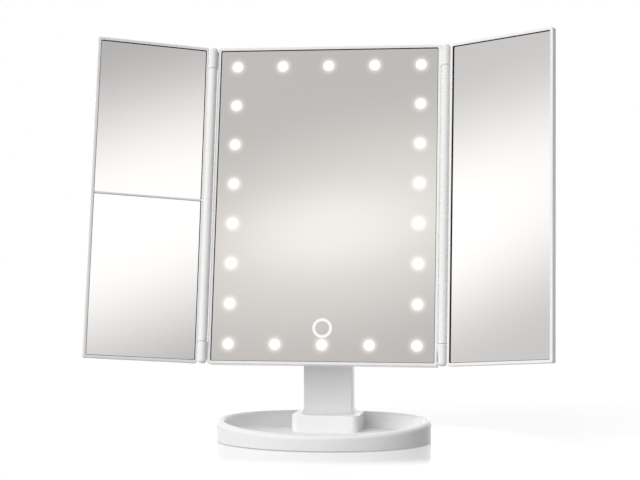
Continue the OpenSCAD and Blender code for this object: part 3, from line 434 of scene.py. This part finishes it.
def bar(name, low, high, radius=0.0, place=Matrix(), steps=2):
    """A block between two corners whose upright edges and ends are rounded by radius."""
    width, depth = high[0] - low[0], high[1] - low[1]
    middle = ((low[0] + high[0]) / 2, (low[1] + high[1]) / 2)
    round_edge = fillet(radius, steps) if radius else [(0, 0)]
    levels = [(down, low[2] + inward) for inward, down in round_edge]
    levels += [(inward, high[2] - down) for inward, down in round_edge]
    return solid(name, [[(x, y, z) for x, y in rounded(width - 2 * g, depth - 2 * g,
                         radius - g, middle, steps)] for g, z in levels], place)


def screw(name, head, length):
    """A screw that points down: its head's profile, a cross recess and a plain shank."""
    profile = [*head, (screw_r, head[-1][1]), (screw_r, -length + screw_tip),
               (screw_r * 0.5, -length)]
    made = turned(name, profile, 20)
    top = head[0][1]
    for x, y in ((cross_long, cross_wide), (cross_wide, cross_long)):
        combine(made, [bar("recess", (-x, -y, top - cross_deep), (x, y, top + 0.5))], "DIFFERENCE")
    return made


sunk_head = ((1.7, 0.0), (screw_head_r - 0.1, -0.02), (screw_head_r, -0.14), (screw_r, -1.2))


def node_group(name, inputs):
    """A Geometry Nodes tree with its named inputs, and the sockets that give them."""
    group = bpy.data.node_groups.new(name, "GeometryNodeTree")
    for label, kind in inputs.items():
        group.interface.new_socket(label, in_out="INPUT", socket_type="NodeSocket" + kind)
    group.interface.new_socket("Copies", in_out="OUTPUT", socket_type="NodeSocketGeometry")
    return group, add(group, "NodeGroupInput").outputs


def put_copies(group, points, shape, finish, **more):
    """Ends a tree with real copies of an object on the points, all in one finish."""
    form = add(group, "GeometryNodeObjectInfo", {"Object": shape})
    placed = add(group, "GeometryNodeInstanceOnPoints", {
        "Points": points, "Instance": form.outputs["Geometry"], **more})
    real = add(group, "GeometryNodeRealizeInstances", {0: placed})
    done = add(group, "GeometryNodeSetMaterial", {"Geometry": real, "Material": finish})
    add(group, "NodeGroupOutput", {0: done})


# A screw on every point, each turned a little further than the last
drive_screws, given = node_group("drive_screws", {
    "Places": "Geometry", "Screw": "Object", "Turn a place": "Float", "Finish": "Material"})
count = add(drive_screws, "GeometryNodeInputIndex")
turn = add(drive_screws, "ShaderNodeMath", {0: count, 1: given["Turn a place"]},
           operation="MULTIPLY")
about = add(drive_screws, "ShaderNodeCombineXYZ", {2: turn})
put_copies(drive_screws, given["Places"], given["Screw"], given["Finish"], Rotation=about)


def grow(piece, group, **values):
    """Runs a Geometry Nodes tree on the piece with its named inputs and keeps the plain mesh."""
    modifier = piece.modifiers.new(group.name, "NODES")
    modifier.node_group = group
    for item in group.interface.items_tree:
        if item.in_out == "INPUT" and item.name in values:
            modifier[item.identifier] = values[item.name]
    return plain(piece)


def screws(name, template, places, place):
    """A set of screws at flat places (x, y, z), then turned into position by place."""
    mesh = bpy.data.meshes.new(name)
    mesh.from_pydata([Vector(p) * MM for p in places], [], [])
    piece = linked(name, mesh)
    grow(piece, drive_screws, **{"Screw": template, "Turn a place": screw_turn, "Finish": steel})
    piece.data.transform(place)
    bpy.data.objects.remove(template)
    return piece


facing_down = Matrix.Rotation(math.pi, 4, "X")
plate_places = [(x, -y, -(plate_z + 0.02)) for x, y in
                [((base_half_width - plate_screw_inset) * math.cos(math.radians(t)),
                  (base_half_depth - plate_screw_inset) * math.sin(math.radians(t)))
                 for t in plate_screw_turns]]
plate_screws = screws("plate_screws", screw("plate_screw", sunk_head, plate_screw_l),
                      plate_places, facing_down)
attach(plate_screws, "base")
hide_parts("base_plate_screws")

# ---- Pedestal ----
# A moulded ABS box with round corners stands at the back of the tray. Its top sweeps up in a
# small cove to the neck, and it is screwed on from below.

pedestal_w, pedestal_front, pedestal_back = 50, 5, 42.73
pedestal_top, pedestal_r, pedestal_edge = 17.8, 5.5, 0.8
neck_w, neck_t, neck_front, neck_r = 36.5, 14, 23, 1
neck_y = neck_front + neck_t / 2
flare_r, flare_foot = 4, 0.05

middle = (0, (pedestal_front + pedestal_back) / 2)
pedestal_d = pedestal_back - pedestal_front
rings = [[(x, y, floor_z) for x, y in rounded(pedestal_w, pedestal_d, pedestal_r, middle, 8)]]
for g, down in fillet(pedestal_edge, 5):
    rings.append([(x, y, pedestal_top - down) for x, y in
                  rounded(pedestal_w - 2 * g, pedestal_d - 2 * g, pedestal_r - g, middle, 8)])
for rise, out in fillet(flare_r, 8):
    g = out + flare_foot
    rings.append([(x, y, pedestal_top + rise) for x, y in
                  rounded(neck_w + 2 * g, neck_t + 2 * g, neck_r + g, (0, neck_y), 8)])
pedestal = moulded(solid("pedestal_block", rings), abs_white)
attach(pedestal, "base")
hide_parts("pedestal")

# ---- Neck ----
# A flat moulded ABS column with a round top. A fork takes the head's bracket between its
# ears, both sides are sunk for the bolt, and a cover closes the window in its back.

pivot_z = 116
fork_x, fork_z, fork_top = 10.5, 107.5, 136
sink_r, sink_depth, sink_edge = 5.2, 3.4, 0.3
over = 5  # a cutter reaches this far past the piece
window_w, window_z, window_h, cover_t = 28, 28.6, 71.4, 2
neck_back = neck_front + neck_t


def moved(x, y, z):
    """Shifts a piece by millimetres."""
    return Matrix.Translation(Vector((x, y, z)) * MM)


def stadium(y0, y1, z0, top_z, g=0.0, steps=28):
    """Points in the YZ plane of an upright strip with a round top, drawn in by g."""
    radius = (y1 - y0) / 2 - g
    points = [((y0 + y1) / 2 + radius * math.cos(math.pi * i / steps),
               top_z + radius * math.sin(math.pi * i / steps)) for i in range(steps + 1)]
    return points + [(y0 + g, z0), (y1 - g, z0)]


rings = []
for side in (-1, 1):
    for g, down in fillet(neck_r, 5)[::side]:
        rings.append([(side * (neck_w / 2 - down), y, z) for y, z in
                      stadium(neck_front, neck_back, floor_z, pivot_z, g)])
neck = solid("neck_column", rings)
along_x = moved(0, neck_y, pivot_z) @ Matrix.Rotation(math.pi / 2, 4, "Y")
cuts = [bar("fork", (-fork_x, neck_front - over, fork_z), (fork_x, neck_back + over, fork_top)),
        bar("window", (-window_w / 2, neck_back - cover_t, window_z),
            (window_w / 2, neck_back + over, window_z + window_h))]
for side in (-1, 1):
    cuts.append(turned("sink", [(sink_r, side * (neck_w / 2 - sink_depth)),
                                (sink_r, side * (neck_w / 2 - sink_edge)),
                                (sink_r + sink_edge, side * (neck_w / 2 + 0.01)),
                                (sink_r + sink_edge, side * (neck_w / 2 + over))], 48, along_x))
combine(neck, cuts, "DIFFERENCE")
moulded(neck, abs_white)
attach(neck, "base")
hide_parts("neck")

# ---- Neck cover ----
# A thin moulded ABS strip with softened edges drops into the window at the back of the neck
# and is held by two countersunk screws.

cover_gap, cover_edge, cover_r = 0.2, 0.35, 0.4
cover_screw_zs, cover_screw_l, screw_sink = (36.6, 92), 9, 0.1
head_room, hole_room, hole_neck, hole_depth = 0.12, 0.05, 1.4, 9
facing_back = Matrix.Rotation(-math.pi / 2, 4, "X")


def sunk_cutter(place):
    """Cutter for a countersunk hole, its axis along Z and its mouth at height 0."""
    top_r, hole_r = screw_head_r + head_room, screw_r + hole_room
    return turned("countersink", [(top_r, over), (top_r, -head_room), (hole_r, -hole_neck),
                                  (hole_r, -hole_depth)], 32, place)


def upright(y, *shape):
    """Ring of a rounded rectangle that stands at y. shape is what rounded takes."""
    return [(x, y, z) for x, z in rounded(*shape)]


def slab(y0, y1, edge, edge_steps, width, height, radius, middle, steps=6):
    """Rings of an upright plate, flat at y0 and with a softened edge at y1."""
    rings = [upright(y0, width, height, radius, middle, steps)]
    for g, down in fillet(edge, edge_steps):
        rings.append(upright(y1 - down, width - 2 * g, height - 2 * g, radius - g, middle, steps))
    return rings


cover_middle = (0, window_z + window_h / 2)
rings = slab(neck_back - cover_t, neck_back, cover_edge, 4, window_w - 2 * cover_gap,
             window_h - 2 * cover_gap, cover_r, cover_middle, 4)
neck_cover = solid("neck_cover_strip", rings)
combine(neck_cover, [sunk_cutter(moved(0, neck_back, z) @ facing_back)
                     for z in cover_screw_zs], "DIFFERENCE")
moulded(neck_cover, abs_white)
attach(neck_cover, "base")
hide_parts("neck_cover")

cover_screws = screws("cover_screws", screw("cover_screw", sunk_head, cover_screw_l),
                      [(0, -z, neck_back - screw_sink) for z in cover_screw_zs], facing_back)
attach(cover_screws, "base")
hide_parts("neck_cover_screws")

# ---- Tilt pivot ----
# A steel bolt and nut clamp the head's bracket between two rubber friction washers. Snap-in
# ABS caps with a softened edge hide both ends in the sides of the neck.

cap_r, cap_low, cap_high, cap_edge = 5.15, 17.45, 18.2, 0.4
dress(steel, "tilt_bolt", "tilt_nut", "neck_foot_screws", "pedestal_screws")
dress(rubber, "friction_washers")

caps = None
for side in (-1, 1):
    profile = [(cap_r, side * cap_low)]
    profile += [(cap_r - g, side * (cap_high - down)) for g, down in fillet(cap_edge, 4)]
    cap = turned("pivot_cap", profile, 48, along_x)
    caps = cap if caps is None else combine(caps, [cap])
caps.name = "pivot_cap_pair"
moulded(caps, abs_white)
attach(caps, "base")
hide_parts("pivot_caps")

# ---- Head bracket ----
# A moulded ABS plate with a thick rounded tongue is screwed to the head's back. The tongue
# turns on the bolt between the ears of the neck.

tilt = math.radians(10)
pivot_back, pivot_down = 30, 53
back_y = 12.5
bracket_w, bracket_t, bracket_h, bracket_r, bracket_edge = 34, 2.4, 26, 3, 0.6
tongue_w, tongue_r, tongue_edge = 19, 6.8, 0.7
bracket_screw_x, bracket_screw_z, bracket_screw_l = 13.4, 9, 7
# Turns a piece drawn in the head's flat frame (x right, y back, z up) into its place
on_head = (moved(0, neck_y, pivot_z) @ Matrix.Rotation(-tilt, 4, "X")
           @ moved(0, -pivot_back, pivot_down))

rings = slab(back_y, back_y + bracket_t, bracket_edge, 4, bracket_w, bracket_h, bracket_r,
             (0, -pivot_down))
bracket = solid("tilt_bracket_arm", rings, on_head)
rings = []
for side in (-1, 1):
    for g, down in fillet(tongue_edge, 4)[::side]:
        # the strip lies on its side: its round end points back
        rings.append([(side * (tongue_w / 2 - down), z, -pivot_down - y) for y, z in
                      stadium(-tongue_r, tongue_r, back_y + 1, pivot_back, g)])
combine(bracket, [solid("tongue", rings, on_head)])
moulded(bracket, abs_white)
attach(bracket, "head")
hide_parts("tilt_bracket")

pan_head = ((1.3, 1.2), (1.9, 1.02), (2.28, 0.66), (screw_head_r, 0.25), (screw_head_r, 0.0))
bracket_screws = screws(
    "bracket_screw_set", screw("bracket_screw", pan_head, bracket_screw_l),
    [(x * bracket_screw_x, -(-pivot_down + z * bracket_screw_z), back_y + bracket_t)
     for x in (-1, 1) for z in (-1, 1)], on_head @ facing_back)
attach(bracket_screws, "head")
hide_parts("bracket_screws")

# ---- Head frame ----
# A moulded ABS frame with a thin border round the main glass. A knuckle for the wing hinges
# stands at each of its four corners, and the inner wall of its lip, where the glass is bedded,
# carries a nearly black painted shade for the shadow in the recess and its reflection in the
# glass.

glass_w, glass_h, border, lip, corner_r = 163, 233, 2.5, 1.5, 1.4
head_w, head_h = glass_w + 2 * border, glass_h + 2 * border
glass_bed_y, web_back, joint_y = 2.3, 4.3, 9
front_edge, inner_edge, seam, glass_gap = 0.7, 0.3, 0.25, 0.25
barrel_r, barrel_gap, knuckle_h, knuckle_edge = 3.2, 0.3, 16, 0.15
hinge_x, axis_y, axis_front, leaf_t = 87.5, -2, 0.5, 2.5
knuckle_z = head_h / 2 - knuckle_h

# Painted shade for the recess round the glass, on the lip's inner wall: matt, nearly black
painted_lip_shade, tree, at, shade, _ = two_tone("painted_recess_shade", 700.0, 3.0, "#1a1a1a", "#272727")
body = add(tree, "ShaderNodeBsdfPrincipled", {"Base Color": shade, "Roughness": 0.85})
add(tree, "ShaderNodeOutputMaterial", {"Surface": body})


def frame_front(width, height, radius, open_w, open_h, bed_y, front_y, middle, open_middle):
    """Rings of a frame's front from the bed of its glass out over the border to its side."""
    open_w, open_h = open_w + 2 * glass_gap, open_h + 2 * glass_gap
    rings = [upright(y, open_w, open_h, 1, open_middle) for y in (bed_y, front_y + inner_edge)]
    for g, down in fillet(inner_edge, 4)[1:]:
        rings.append(upright(front_y + down, open_w + 2 * g, open_h + 2 * g, 1 + g, open_middle))
    for g, down in fillet(front_edge, 5)[::-1]:
        rings.append(upright(front_y + down, width - 2 * g, height - 2 * g, radius - g, middle))
    return rings


def knuckle(low, high, round_low, round_high, place):
    """Hinge knuckle along Z between two heights, with rounded or flat ends."""
    profile = []
    for z, inward, round_r in ((low, 1, round_low), (high, -1, round_high)):
        end = [(barrel_r - g, z + inward * down) for g, down in fillet(round_r, 6)]
        profile += end[::-1] if inward > 0 else end
    return turned("knuckle", profile, 32, place)


rings = frame_front(head_w, head_h, corner_r, glass_w, glass_h, glass_bed_y, -lip, (0, 0), (0, 0))
for inset, y in ((0, joint_y - seam), (seam, joint_y), (border, joint_y), (border, web_back)):
    rings.append(upright(y, head_w - 2 * inset, head_h - 2 * inset, max(corner_r - inset, 1)))
# its first strip, the inner wall of the lip, takes the painted shade of the recess
head_frame = solid("head_frame_moulding", rings, on_head, {0: 1})
parts = []
for side in (-1, 1):
    for up in (-1, 1):
        at_hinge = on_head @ moved(side * hinge_x, axis_y, 0)
        inner, outer = up * knuckle_z, up * head_h / 2
        free = barrel_r * 0.8
        parts.append(knuckle(min(inner, outer), max(inner, outer),
                             free if up < 0 else knuckle_edge,
                             free if up > 0 else knuckle_edge, at_hinge))
        reach = barrel_r + barrel_gap + border / 2
        xs = (-reach, 0) if side > 0 else (0, reach)
        zs = sorted((inner, outer - up * barrel_r))
        parts.append(bar("leaf", (xs[0], axis_front, zs[0]), (xs[1], axis_front + leaf_t, zs[1]),
                         0, at_hinge))
combine(head_frame, parts)
moulded(head_frame, abs_white, painted_lip_shade)
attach(head_frame, "head")
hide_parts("head_frame")

# ---- Lights and electronics inside the head ----
# A white flexible strip with small yellow-capped diodes runs behind the glass. A green
# control board with a brass touch spring sits behind the touch mark, joined by thin wires.

led_x, led_z, led_columns, led_rows = 69, 104.3, 5, 8
# Each finish: name, two colours, metallic, roughness, grain size in mm, what it gives the eye
for node_names, name, dark, light, metallic, roughness, grain_mm in (
    # white solder mask on polyimide: satin white with a faint grain
    (("led_strip",), "white_flexible_circuit", "#dfe1dc", "#ebece8", 0.0, 0.45, 1.5),
    # silicone with phosphor: soft yellow, slightly cloudy
    (("leds",), "phosphor_silicone", "#e0c04a", "#f0d877", 0.0, 0.35, 0.8),
    # glass-fibre board under green solder mask: semi-gloss, a little uneven
    (("control_board",), "green_solder_mask", "#1d5b38", "#2a7549", 0.0, 0.35, 0.9),
    # drawn brass wire: warm yellow metal with a dull bloom
    (("touch_spring",), "drawn_brass", "#a9853f", "#c9a557", 1.0, 0.3, 1.0),
    # shrink sleeve on zinc-carbon cells: glossy slate blue
    (("batteries",), "shrink_sleeve", "#4a5866", "#5c6c7b", 0.0, 0.3, 3.0),
    # extruded PVC on the wires: satin red
    (("wiring",), "extruded_pvc", "#8f2a25", "#a93832", 0.0, 0.45, 1.5),
    # double-sided foam tape: matt grey, rough
    (("main_mirror_tape", "left_wing_tape", "right_wing_tape"), "foam_tape", "#5b5c5e",
     "#717274", 0.0, 0.9, 0.8),
    # unpolished moulded ABS of the switch: dark grey, satin
    (("switch_body",), "satin_grey_abs", "#3a3b3d", "#47484b", 0.0, 0.5, 1.2),
):
    finish, tree, at, shade, grain = two_tone(name, 1000.0 / grain_mm, 4.0, dark, light)
    dull = add(tree, "ShaderNodeMapRange", {0: grain, 3: roughness - 0.08, 4: roughness + 0.08})
    relief = add(tree, "ShaderNodeBump", {"Height": grain, "Strength": 0.25, "Distance": 0.0001})
    body = add(tree, "ShaderNodeBsdfPrincipled", {"Base Color": shade,
               "Metallic": metallic, "Roughness": dull, "Normal": relief})
    add(tree, "ShaderNodeOutputMaterial", {"Surface": body})
    dress(finish, *node_names)
dress(steel, "board_screws", "battery_contacts", "battery_springs", "left_hinge_pins",
      "right_hinge_pins")

# ---- Main mirror ----
# A sheet of float glass, silvered on its back and left clear in a row of round windows.
# A soft halo round every window is painted into the glass as a glow, for the light from
# behind that scatters in it.

window_r = 4
halo_reach, halo_fall, halo_power = 6, 3.2, 0.28


def from_window(tree, at):
    """Nodes that give the distance to the middle of the nearest light window in millimetres."""
    flat = add(tree, "ShaderNodeMapping", {
        "Vector": at, "Location": on_head.to_translation(),
        "Rotation": on_head.to_euler()}, vector_type="TEXTURE")
    axes = add(tree, "ShaderNodeSeparateXYZ", {0: flat})
    gaps = []
    for along, across, pitch, shift, line in (
        (axes.outputs["Z"], axes.outputs["X"], 2 * led_z / (led_rows - 1), 0.0, led_x),
        (axes.outputs["X"], axes.outputs["Z"], 2 * led_x / (led_columns - 1), 0.5, led_z),
    ):
        steps = add(tree, "ShaderNodeMath", {0: along, 1: 1 / (pitch * MM), 2: shift},
                    operation="MULTIPLY_ADD")
        part = add(tree, "ShaderNodeMath", {0: steps}, operation="FRACT")
        off = add(tree, "ShaderNodeMath", {0: part, 1: 0.5}, operation="SUBTRACT")
        off_mm = add(tree, "ShaderNodeMath", {0: off, 1: pitch}, operation="MULTIPLY")
        size = add(tree, "ShaderNodeMath", {0: across}, operation="ABSOLUTE")
        out_mm = add(tree, "ShaderNodeMath", {0: size, 1: 1 / MM, 2: -line},
                     operation="MULTIPLY_ADD")
        pair = add(tree, "ShaderNodeCombineXYZ", {0: off_mm, 1: out_mm})
        gaps.append(add(tree, "ShaderNodeVectorMath", {0: pair},
                        operation="LENGTH").outputs["Value"])
    return add(tree, "ShaderNodeMath", {0: gaps[0], 1: gaps[1]}, operation="MINIMUM")


def silvered(name, dark, light, halo):
    """Silvered float glass: a clear, very slightly warm mirror with a trace of wiping haze.
    With halo it carries a painted glow round each light window.
    """
    # wiping haze some 40 mm across
    glass, tree, at, silver, haze = two_tone(name, 25.0, 6.0, dark, light)
    dull = add(tree, "ShaderNodeMapRange", {0: haze, 1: 0.35, 2: 0.8, 3: 0.0, 4: 0.035})
    wires = {"Base Color": silver, "Metallic": 1.0, "Roughness": dull}
    if halo:
        # a painted glow round each window that fades out over halo_reach mm
        left = add(tree, "ShaderNodeMapRange", {0: from_window(tree, at), 1: window_r,
                   2: window_r + halo_reach, 3: 1.0, 4: 0.0})
        fade = add(tree, "ShaderNodeMath", {0: left, 1: halo_fall}, operation="POWER")
        painted_halo_glow = add(tree, "ShaderNodeMath", {0: fade, 1: halo_power}, operation="MULTIPLY")
        wires["Emission Color"] = linear("#fffaf0")
        wires["Emission Strength"] = painted_halo_glow
    body = add(tree, "ShaderNodeBsdfPrincipled", wires)
    add(tree, "ShaderNodeOutputMaterial", {"Surface": body})
    glass.cycles.emission_sampling = "NONE"
    return glass


dress(silvered("silvered_glass_painted_halo", "#f9f5f1", "#fbf7f3", True), "main_mirror")
dress(silvered("silvered_glass", "#faf7f5", "#fcf9f7", False), "left_upper_mirror",
      "left_lower_mirror", "right_mirror")

# ---- Light windows and touch mark ----
# Clear round windows in the silvering, each filled by the frosted light of the diode behind
# it, along all four sides, and a thin lit ring that is touched to switch the light.

# Frosted float glass lit from behind: even warm white that softens at its edge
light_power, edge_power = 0.8, 0.73
window_light, tree, at, shade, _ = two_tone("frosted_window_lit", 900.0, 3.0, "#848280",
                                            "#8a8886")
glow = add(tree, "ShaderNodeMapRange", {0: from_window(tree, at), 1: 0.85 * window_r,
           2: 1.05 * window_r, 3: light_power, 4: edge_power}, interpolation_type="SMOOTHSTEP")
body = add(tree, "ShaderNodeBsdfPrincipled", {"Base Color": shade, "Roughness": 0.25,
           "Emission Color": linear("#fffdf9"), "Emission Strength": glow})
add(tree, "ShaderNodeOutputMaterial", {"Surface": body})
window_light.cycles.emission_sampling = "NONE"

# A lens on every point of the outer row of a grid of lights
light_windows, given = node_group("light_windows", {
    "Lens": "Object", "Columns": "Int", "Rows": "Int", "Width": "Float", "Height": "Float",
    "Finish": "Material"})
grid = add(light_windows, "GeometryNodeMeshGrid", {
    "Size X": given["Width"], "Size Y": given["Height"], "Vertices X": given["Columns"],
    "Vertices Y": given["Rows"]})
where = add(light_windows, "GeometryNodeInputPosition")
axes = add(light_windows, "ShaderNodeSeparateXYZ", {0: where})
inside = []
for axis, size in (("X", "Width"), ("Y", "Height")):
    length = add(light_windows, "ShaderNodeMath", {0: axes.outputs[axis]}, operation="ABSOLUTE")
    # just under half, so that the outer row itself stays
    half = add(light_windows, "ShaderNodeMath", {0: given[size], 1: 0.49}, operation="MULTIPLY")
    inside.append(add(light_windows, "ShaderNodeMath", {0: length, 1: half},
                      operation="LESS_THAN"))
both = add(light_windows, "ShaderNodeMath", {0: inside[0], 1: inside[1]}, operation="MULTIPLY")
outer_row = add(light_windows, "GeometryNodeDeleteGeometry", {"Geometry": grid.outputs["Mesh"],
                "Selection": both})
put_copies(light_windows, outer_row, given["Lens"], given["Finish"])

# the lens is drawn about Z with its front upwards, and the glass front is at height 0
lens_t, lens_edge, lens_drop = 2.0, 0.3, 0.05
lens = turned("lens", [(window_r, -lens_t), (window_r, -lens_drop), (window_r - lens_edge, 0.0)],
              40)
windows = linked("light_window_set", bpy.data.meshes.new("light_window_set"))
grow(windows, light_windows, **{"Lens": lens, "Columns": led_columns, "Rows": led_rows,
     "Width": 2 * led_x * MM, "Height": 2 * led_z * MM, "Finish": window_light})
bpy.data.objects.remove(lens)
windows.data.transform(on_head @ Matrix.Rotation(math.pi / 2, 4, "X"))
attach(windows, "head")
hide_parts("led_windows")
dress(window_light, "touch_ring")

# ---- Back cover ----
# A moulded ABS tray with softened edges closes the head from behind. It carries the raised
# battery box, the slot of the switch and the window of the power inlet.

plate_in, back_bevel_y = 10.9, 11
box_w, box_low, box_high, box_end = 51, -32, 18, 2
box_floor, box_back, box_edge, box_r, box_wall = 5, 19.7, 0.7, 2, 1.2
room_w, groove_w, cover_y, slide_cover_t, slide_gap = 45, 48, 17.1, 1.6, 0.2
outlet_x, outlet_z = 48, -7
switch_slot_w, switch_slot_h = 7, 3.4
head_screw_x, head_screw_z, head_screw_l = 59, 93.3, 7

rings = [upright(y, glass_w, glass_h, 1) for y in (plate_in, joint_y)]
for inset, y in ((seam, joint_y), (0, joint_y + seam), (0, back_bevel_y),
                 (0.7, 11.45), (1.2, 11.9), (1.5, 12.25), (1.9, 12.45), (2.4, back_y)):
    rings.append(upright(y, head_w - 2 * inset, head_h - 2 * inset,
                         max(corner_r - inset / 2, 1)))
head_back = solid("head_back_moulding", rings, on_head)
box_middle = (0, (box_low + box_high) / 2)
box_h = box_high - box_low + 2 * box_end
rings = slab(box_floor, box_back, box_edge, 4, box_w, box_h, box_r, box_middle)
combine(head_back, [solid("battery_box", rings, on_head)])
cuts = [
    bar("cell_room", (-room_w / 2, box_floor + box_wall, box_low),
        (room_w / 2, box_back + 1, box_high), 0, on_head),
    bar("grooves", (-groove_w / 2, cover_y - slide_gap, box_low - slide_gap),
        (groove_w / 2, cover_y + slide_cover_t + slide_gap, box_high + box_end + 1), 0, on_head),
    bar("way_out", (-room_w / 2, cover_y - slide_gap, box_high - 1),
        (room_w / 2, box_back + 1, box_high + box_end + 1), 0, on_head),
    bar("switch_slot", (outlet_x - switch_slot_w / 2, plate_in - 1, outlet_z - switch_slot_h / 2),
        (outlet_x + switch_slot_w / 2, back_y + 1, outlet_z + switch_slot_h / 2), 0, on_head),
]
inlet_w, inlet_h, inlet_l, inlet_gap, inlet_window_r = 8.4, 3.2, 5, 0.2, 1.0
cuts.append(solid("inlet_window", [
    upright(y, inlet_w + 2 * inlet_gap, inlet_h + 2 * inlet_gap, inlet_window_r,
            (-outlet_x, outlet_z)) for y in (9.5, 14)], on_head))
head_screw_places = [(x * head_screw_x, z * head_screw_z) for x in (-1, 1) for z in (-1, 0, 1)]
for x, z in head_screw_places:
    cuts.append(sunk_cutter(on_head @ moved(x, back_y, z) @ facing_back))
combine(head_back, cuts, "DIFFERENCE")
moulded(head_back, abs_white)
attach(head_back, "head")
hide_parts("head_back")

head_screws = screws("head_screw_set", screw("head_screw", sunk_head, head_screw_l),
                     [(x, -z, back_y - screw_sink) for x, z in head_screw_places],
                     on_head @ facing_back)
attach(head_screws, "head")
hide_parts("head_screws")

# ---- Battery cover ----
# A moulded ABS lid that slides up in two grooves. Four raised finger ridges near its top
# give the thumb a hold.

lid_w, lid_h, lid_edge, lid_r = 47.6, box_high + box_end - box_low, 0.3, 0.6
lid_middle = (0, (box_low + box_high + box_end) / 2)
ridge_half, ridge_pitch, ridge_count, ridge_r, ridge_top = 7, 3, 4, 0.5, 12.5

rings = slab(cover_y, cover_y + slide_cover_t, lid_edge, 3, lid_w, lid_h, lid_r, lid_middle, 3)
lid = solid("battery_lid", rings)

# A row of equal ridges, one above the other
finger_ridges, given = node_group("finger_ridges", {
    "Ridge": "Object", "Count": "Int", "First": "Vector", "Step": "Vector",
    "Finish": "Material"})
row = add(finger_ridges, "GeometryNodeMeshLine", {
    "Count": given["Count"], "Start Location": given["First"], "Offset": given["Step"]})
put_copies(finger_ridges, row, given["Ridge"], given["Finish"])


def ridges(name, half_length, height, count, first, step, finish):
    """A row of half-round ridges along X."""
    bead = solid("bead", [[(x, y * height, z * height) for y, z in circle(1, 12)]
                          for x in (-half_length, half_length)])
    row = linked(name, bpy.data.meshes.new(name))
    grow(row, finger_ridges, **{"Ridge": bead, "Count": count, "First": Vector(first) * MM,
         "Step": Vector(step) * MM, "Finish": finish})
    bpy.data.objects.remove(bead)
    return row


combine(lid, [ridges("lid_ridges", ridge_half, ridge_r, ridge_count,
                     (0, cover_y + slide_cover_t, ridge_top), (0, 0, -ridge_pitch),
                     abs_white)])
lid.data.materials.clear()
lid.data.transform(on_head)
moulded(lid, abs_white)
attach(lid, "battery_door")
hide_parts("battery_cover")

# ---- Slide switch knob ----
# A small dark grey ABS slider with grip ridges that stands out of its slot.

knob_x, knob_w, knob_h, knob_foot, knob_face, knob_edge = 46.5, 3.4, 2.8, 8.1, 13.4, 0.25
grip_half, grip_r, grip_pitch = 0.9, 0.3, 0.8

grey_abs = bpy.data.materials["satin_grey_abs"]
knob = bar("switch_slider", (knob_x - knob_w / 2, knob_foot, outlet_z - knob_h / 2),
           (knob_x + knob_w / 2, knob_face, outlet_z + knob_h / 2), knob_edge)
combine(knob, [ridges("slider_ridges", grip_half, grip_r, 3,
                      (knob_x, knob_face, outlet_z - grip_pitch), (0, 0, grip_pitch), grey_abs)])
knob.data.materials.clear()
knob.data.transform(on_head)
moulded(knob, grey_abs)
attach(knob, "power_switch")
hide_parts("switch_knob")

# ---- Power inlet ----
# A drawn steel shell with round corners and a contact tongue inside, set flush in the back
# cover for the charging lead.

inlet_wall, inlet_r = 0.4, 1.1
tongue_half, tongue_t = 3, 0.35
rings = []
for size, y in ((0, back_y - inlet_l), (0, back_y - 0.05), (-inlet_wall, back_y - 0.05),
                (-inlet_wall, back_y - inlet_l + 0.5)):
    rings.append(upright(y, inlet_w + 2 * size, inlet_h + 2 * size, inlet_r + size / 2,
                         (-outlet_x, outlet_z)))
inlet = solid("inlet_shell", rings)
combine(inlet, [bar("tongue", (-outlet_x - tongue_half, back_y - inlet_l + 0.3,
                               outlet_z - tongue_t),
                    (-outlet_x + tongue_half, back_y - 1, outlet_z + tongue_t), 0.1)])
inlet.data.transform(on_head)
moulded(inlet, steel)
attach(inlet, "head")
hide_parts("usb_inlet")

# ---- Wings ----
# Two flat moulded ABS trays with the same thin border hold the wing mirrors. A long barrel
# along the inner edge of each turns between the head's knuckles. The left one has a thin rib
# between its two panes.

left_open, right_open = math.radians(24.5), math.radians(27)
wing_glass_w, hinge_border, wing_t, wing_bed = 79.2, 1.8, 5, 3.6
rib_w, rib_z, rib_edge, rib_into = 1.3, 2, 0.25, 0.4
wing_x0 = barrel_r + barrel_gap
wing_w = hinge_border + wing_glass_w + border
wing_back_edge = 0.6


def wing(name, side, opened, rib):
    """A wing frame drawn flat from its hinge axis outwards and turned into place."""
    place = (on_head @ Matrix.Scale(side, 4, (1, 0, 0))
             @ moved(hinge_x, axis_y, 0) @ Matrix.Rotation(-opened, 4, "Z"))
    middle = (wing_x0 + wing_w / 2, 0)
    pane_middle = (wing_x0 + hinge_border + wing_glass_w / 2, 0)
    rings = frame_front(wing_w, head_h, corner_r, wing_glass_w, glass_h,
                        axis_front + wing_bed, axis_front, middle, pane_middle)
    for g, down in fillet(wing_back_edge, 4):
        rings.append(upright(axis_front + wing_t - down, wing_w - 2 * g, head_h - 2 * g,
                             corner_r - g, middle))
    # its first strip, the inner wall of the lip round the pane, takes the painted shade of the
    # recess
    made = solid(name, rings, place, {0: 1})
    barrel_z = knuckle_z - barrel_gap
    added = [knuckle(-barrel_z, barrel_z, knuckle_edge, knuckle_edge, place),
             bar("leaf", (0, axis_front, -barrel_z),
                 (wing_x0 + hinge_border / 2, axis_front + leaf_t, barrel_z), 0, place)]
    if rib:
        reach = wing_glass_w / 2 + rib_into
        added.append(bar("rib", (pane_middle[0] - reach, axis_front + 0.1, rib_z - rib_w / 2),
                         (pane_middle[0] + reach, axis_front + wing_bed + 0.3,
                          rib_z + rib_w / 2), rib_edge, place))
    combine(made, added)
    return moulded(made, abs_white, painted_lip_shade)


left_wing = wing("left_wing_moulding", -1, left_open, True)
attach(left_wing, "left_wing")
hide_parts("left_wing_frame")

right_wing = wing("right_wing_moulding", 1, right_open, False)
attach(right_wing, "right_wing")
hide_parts("right_wing_frame")
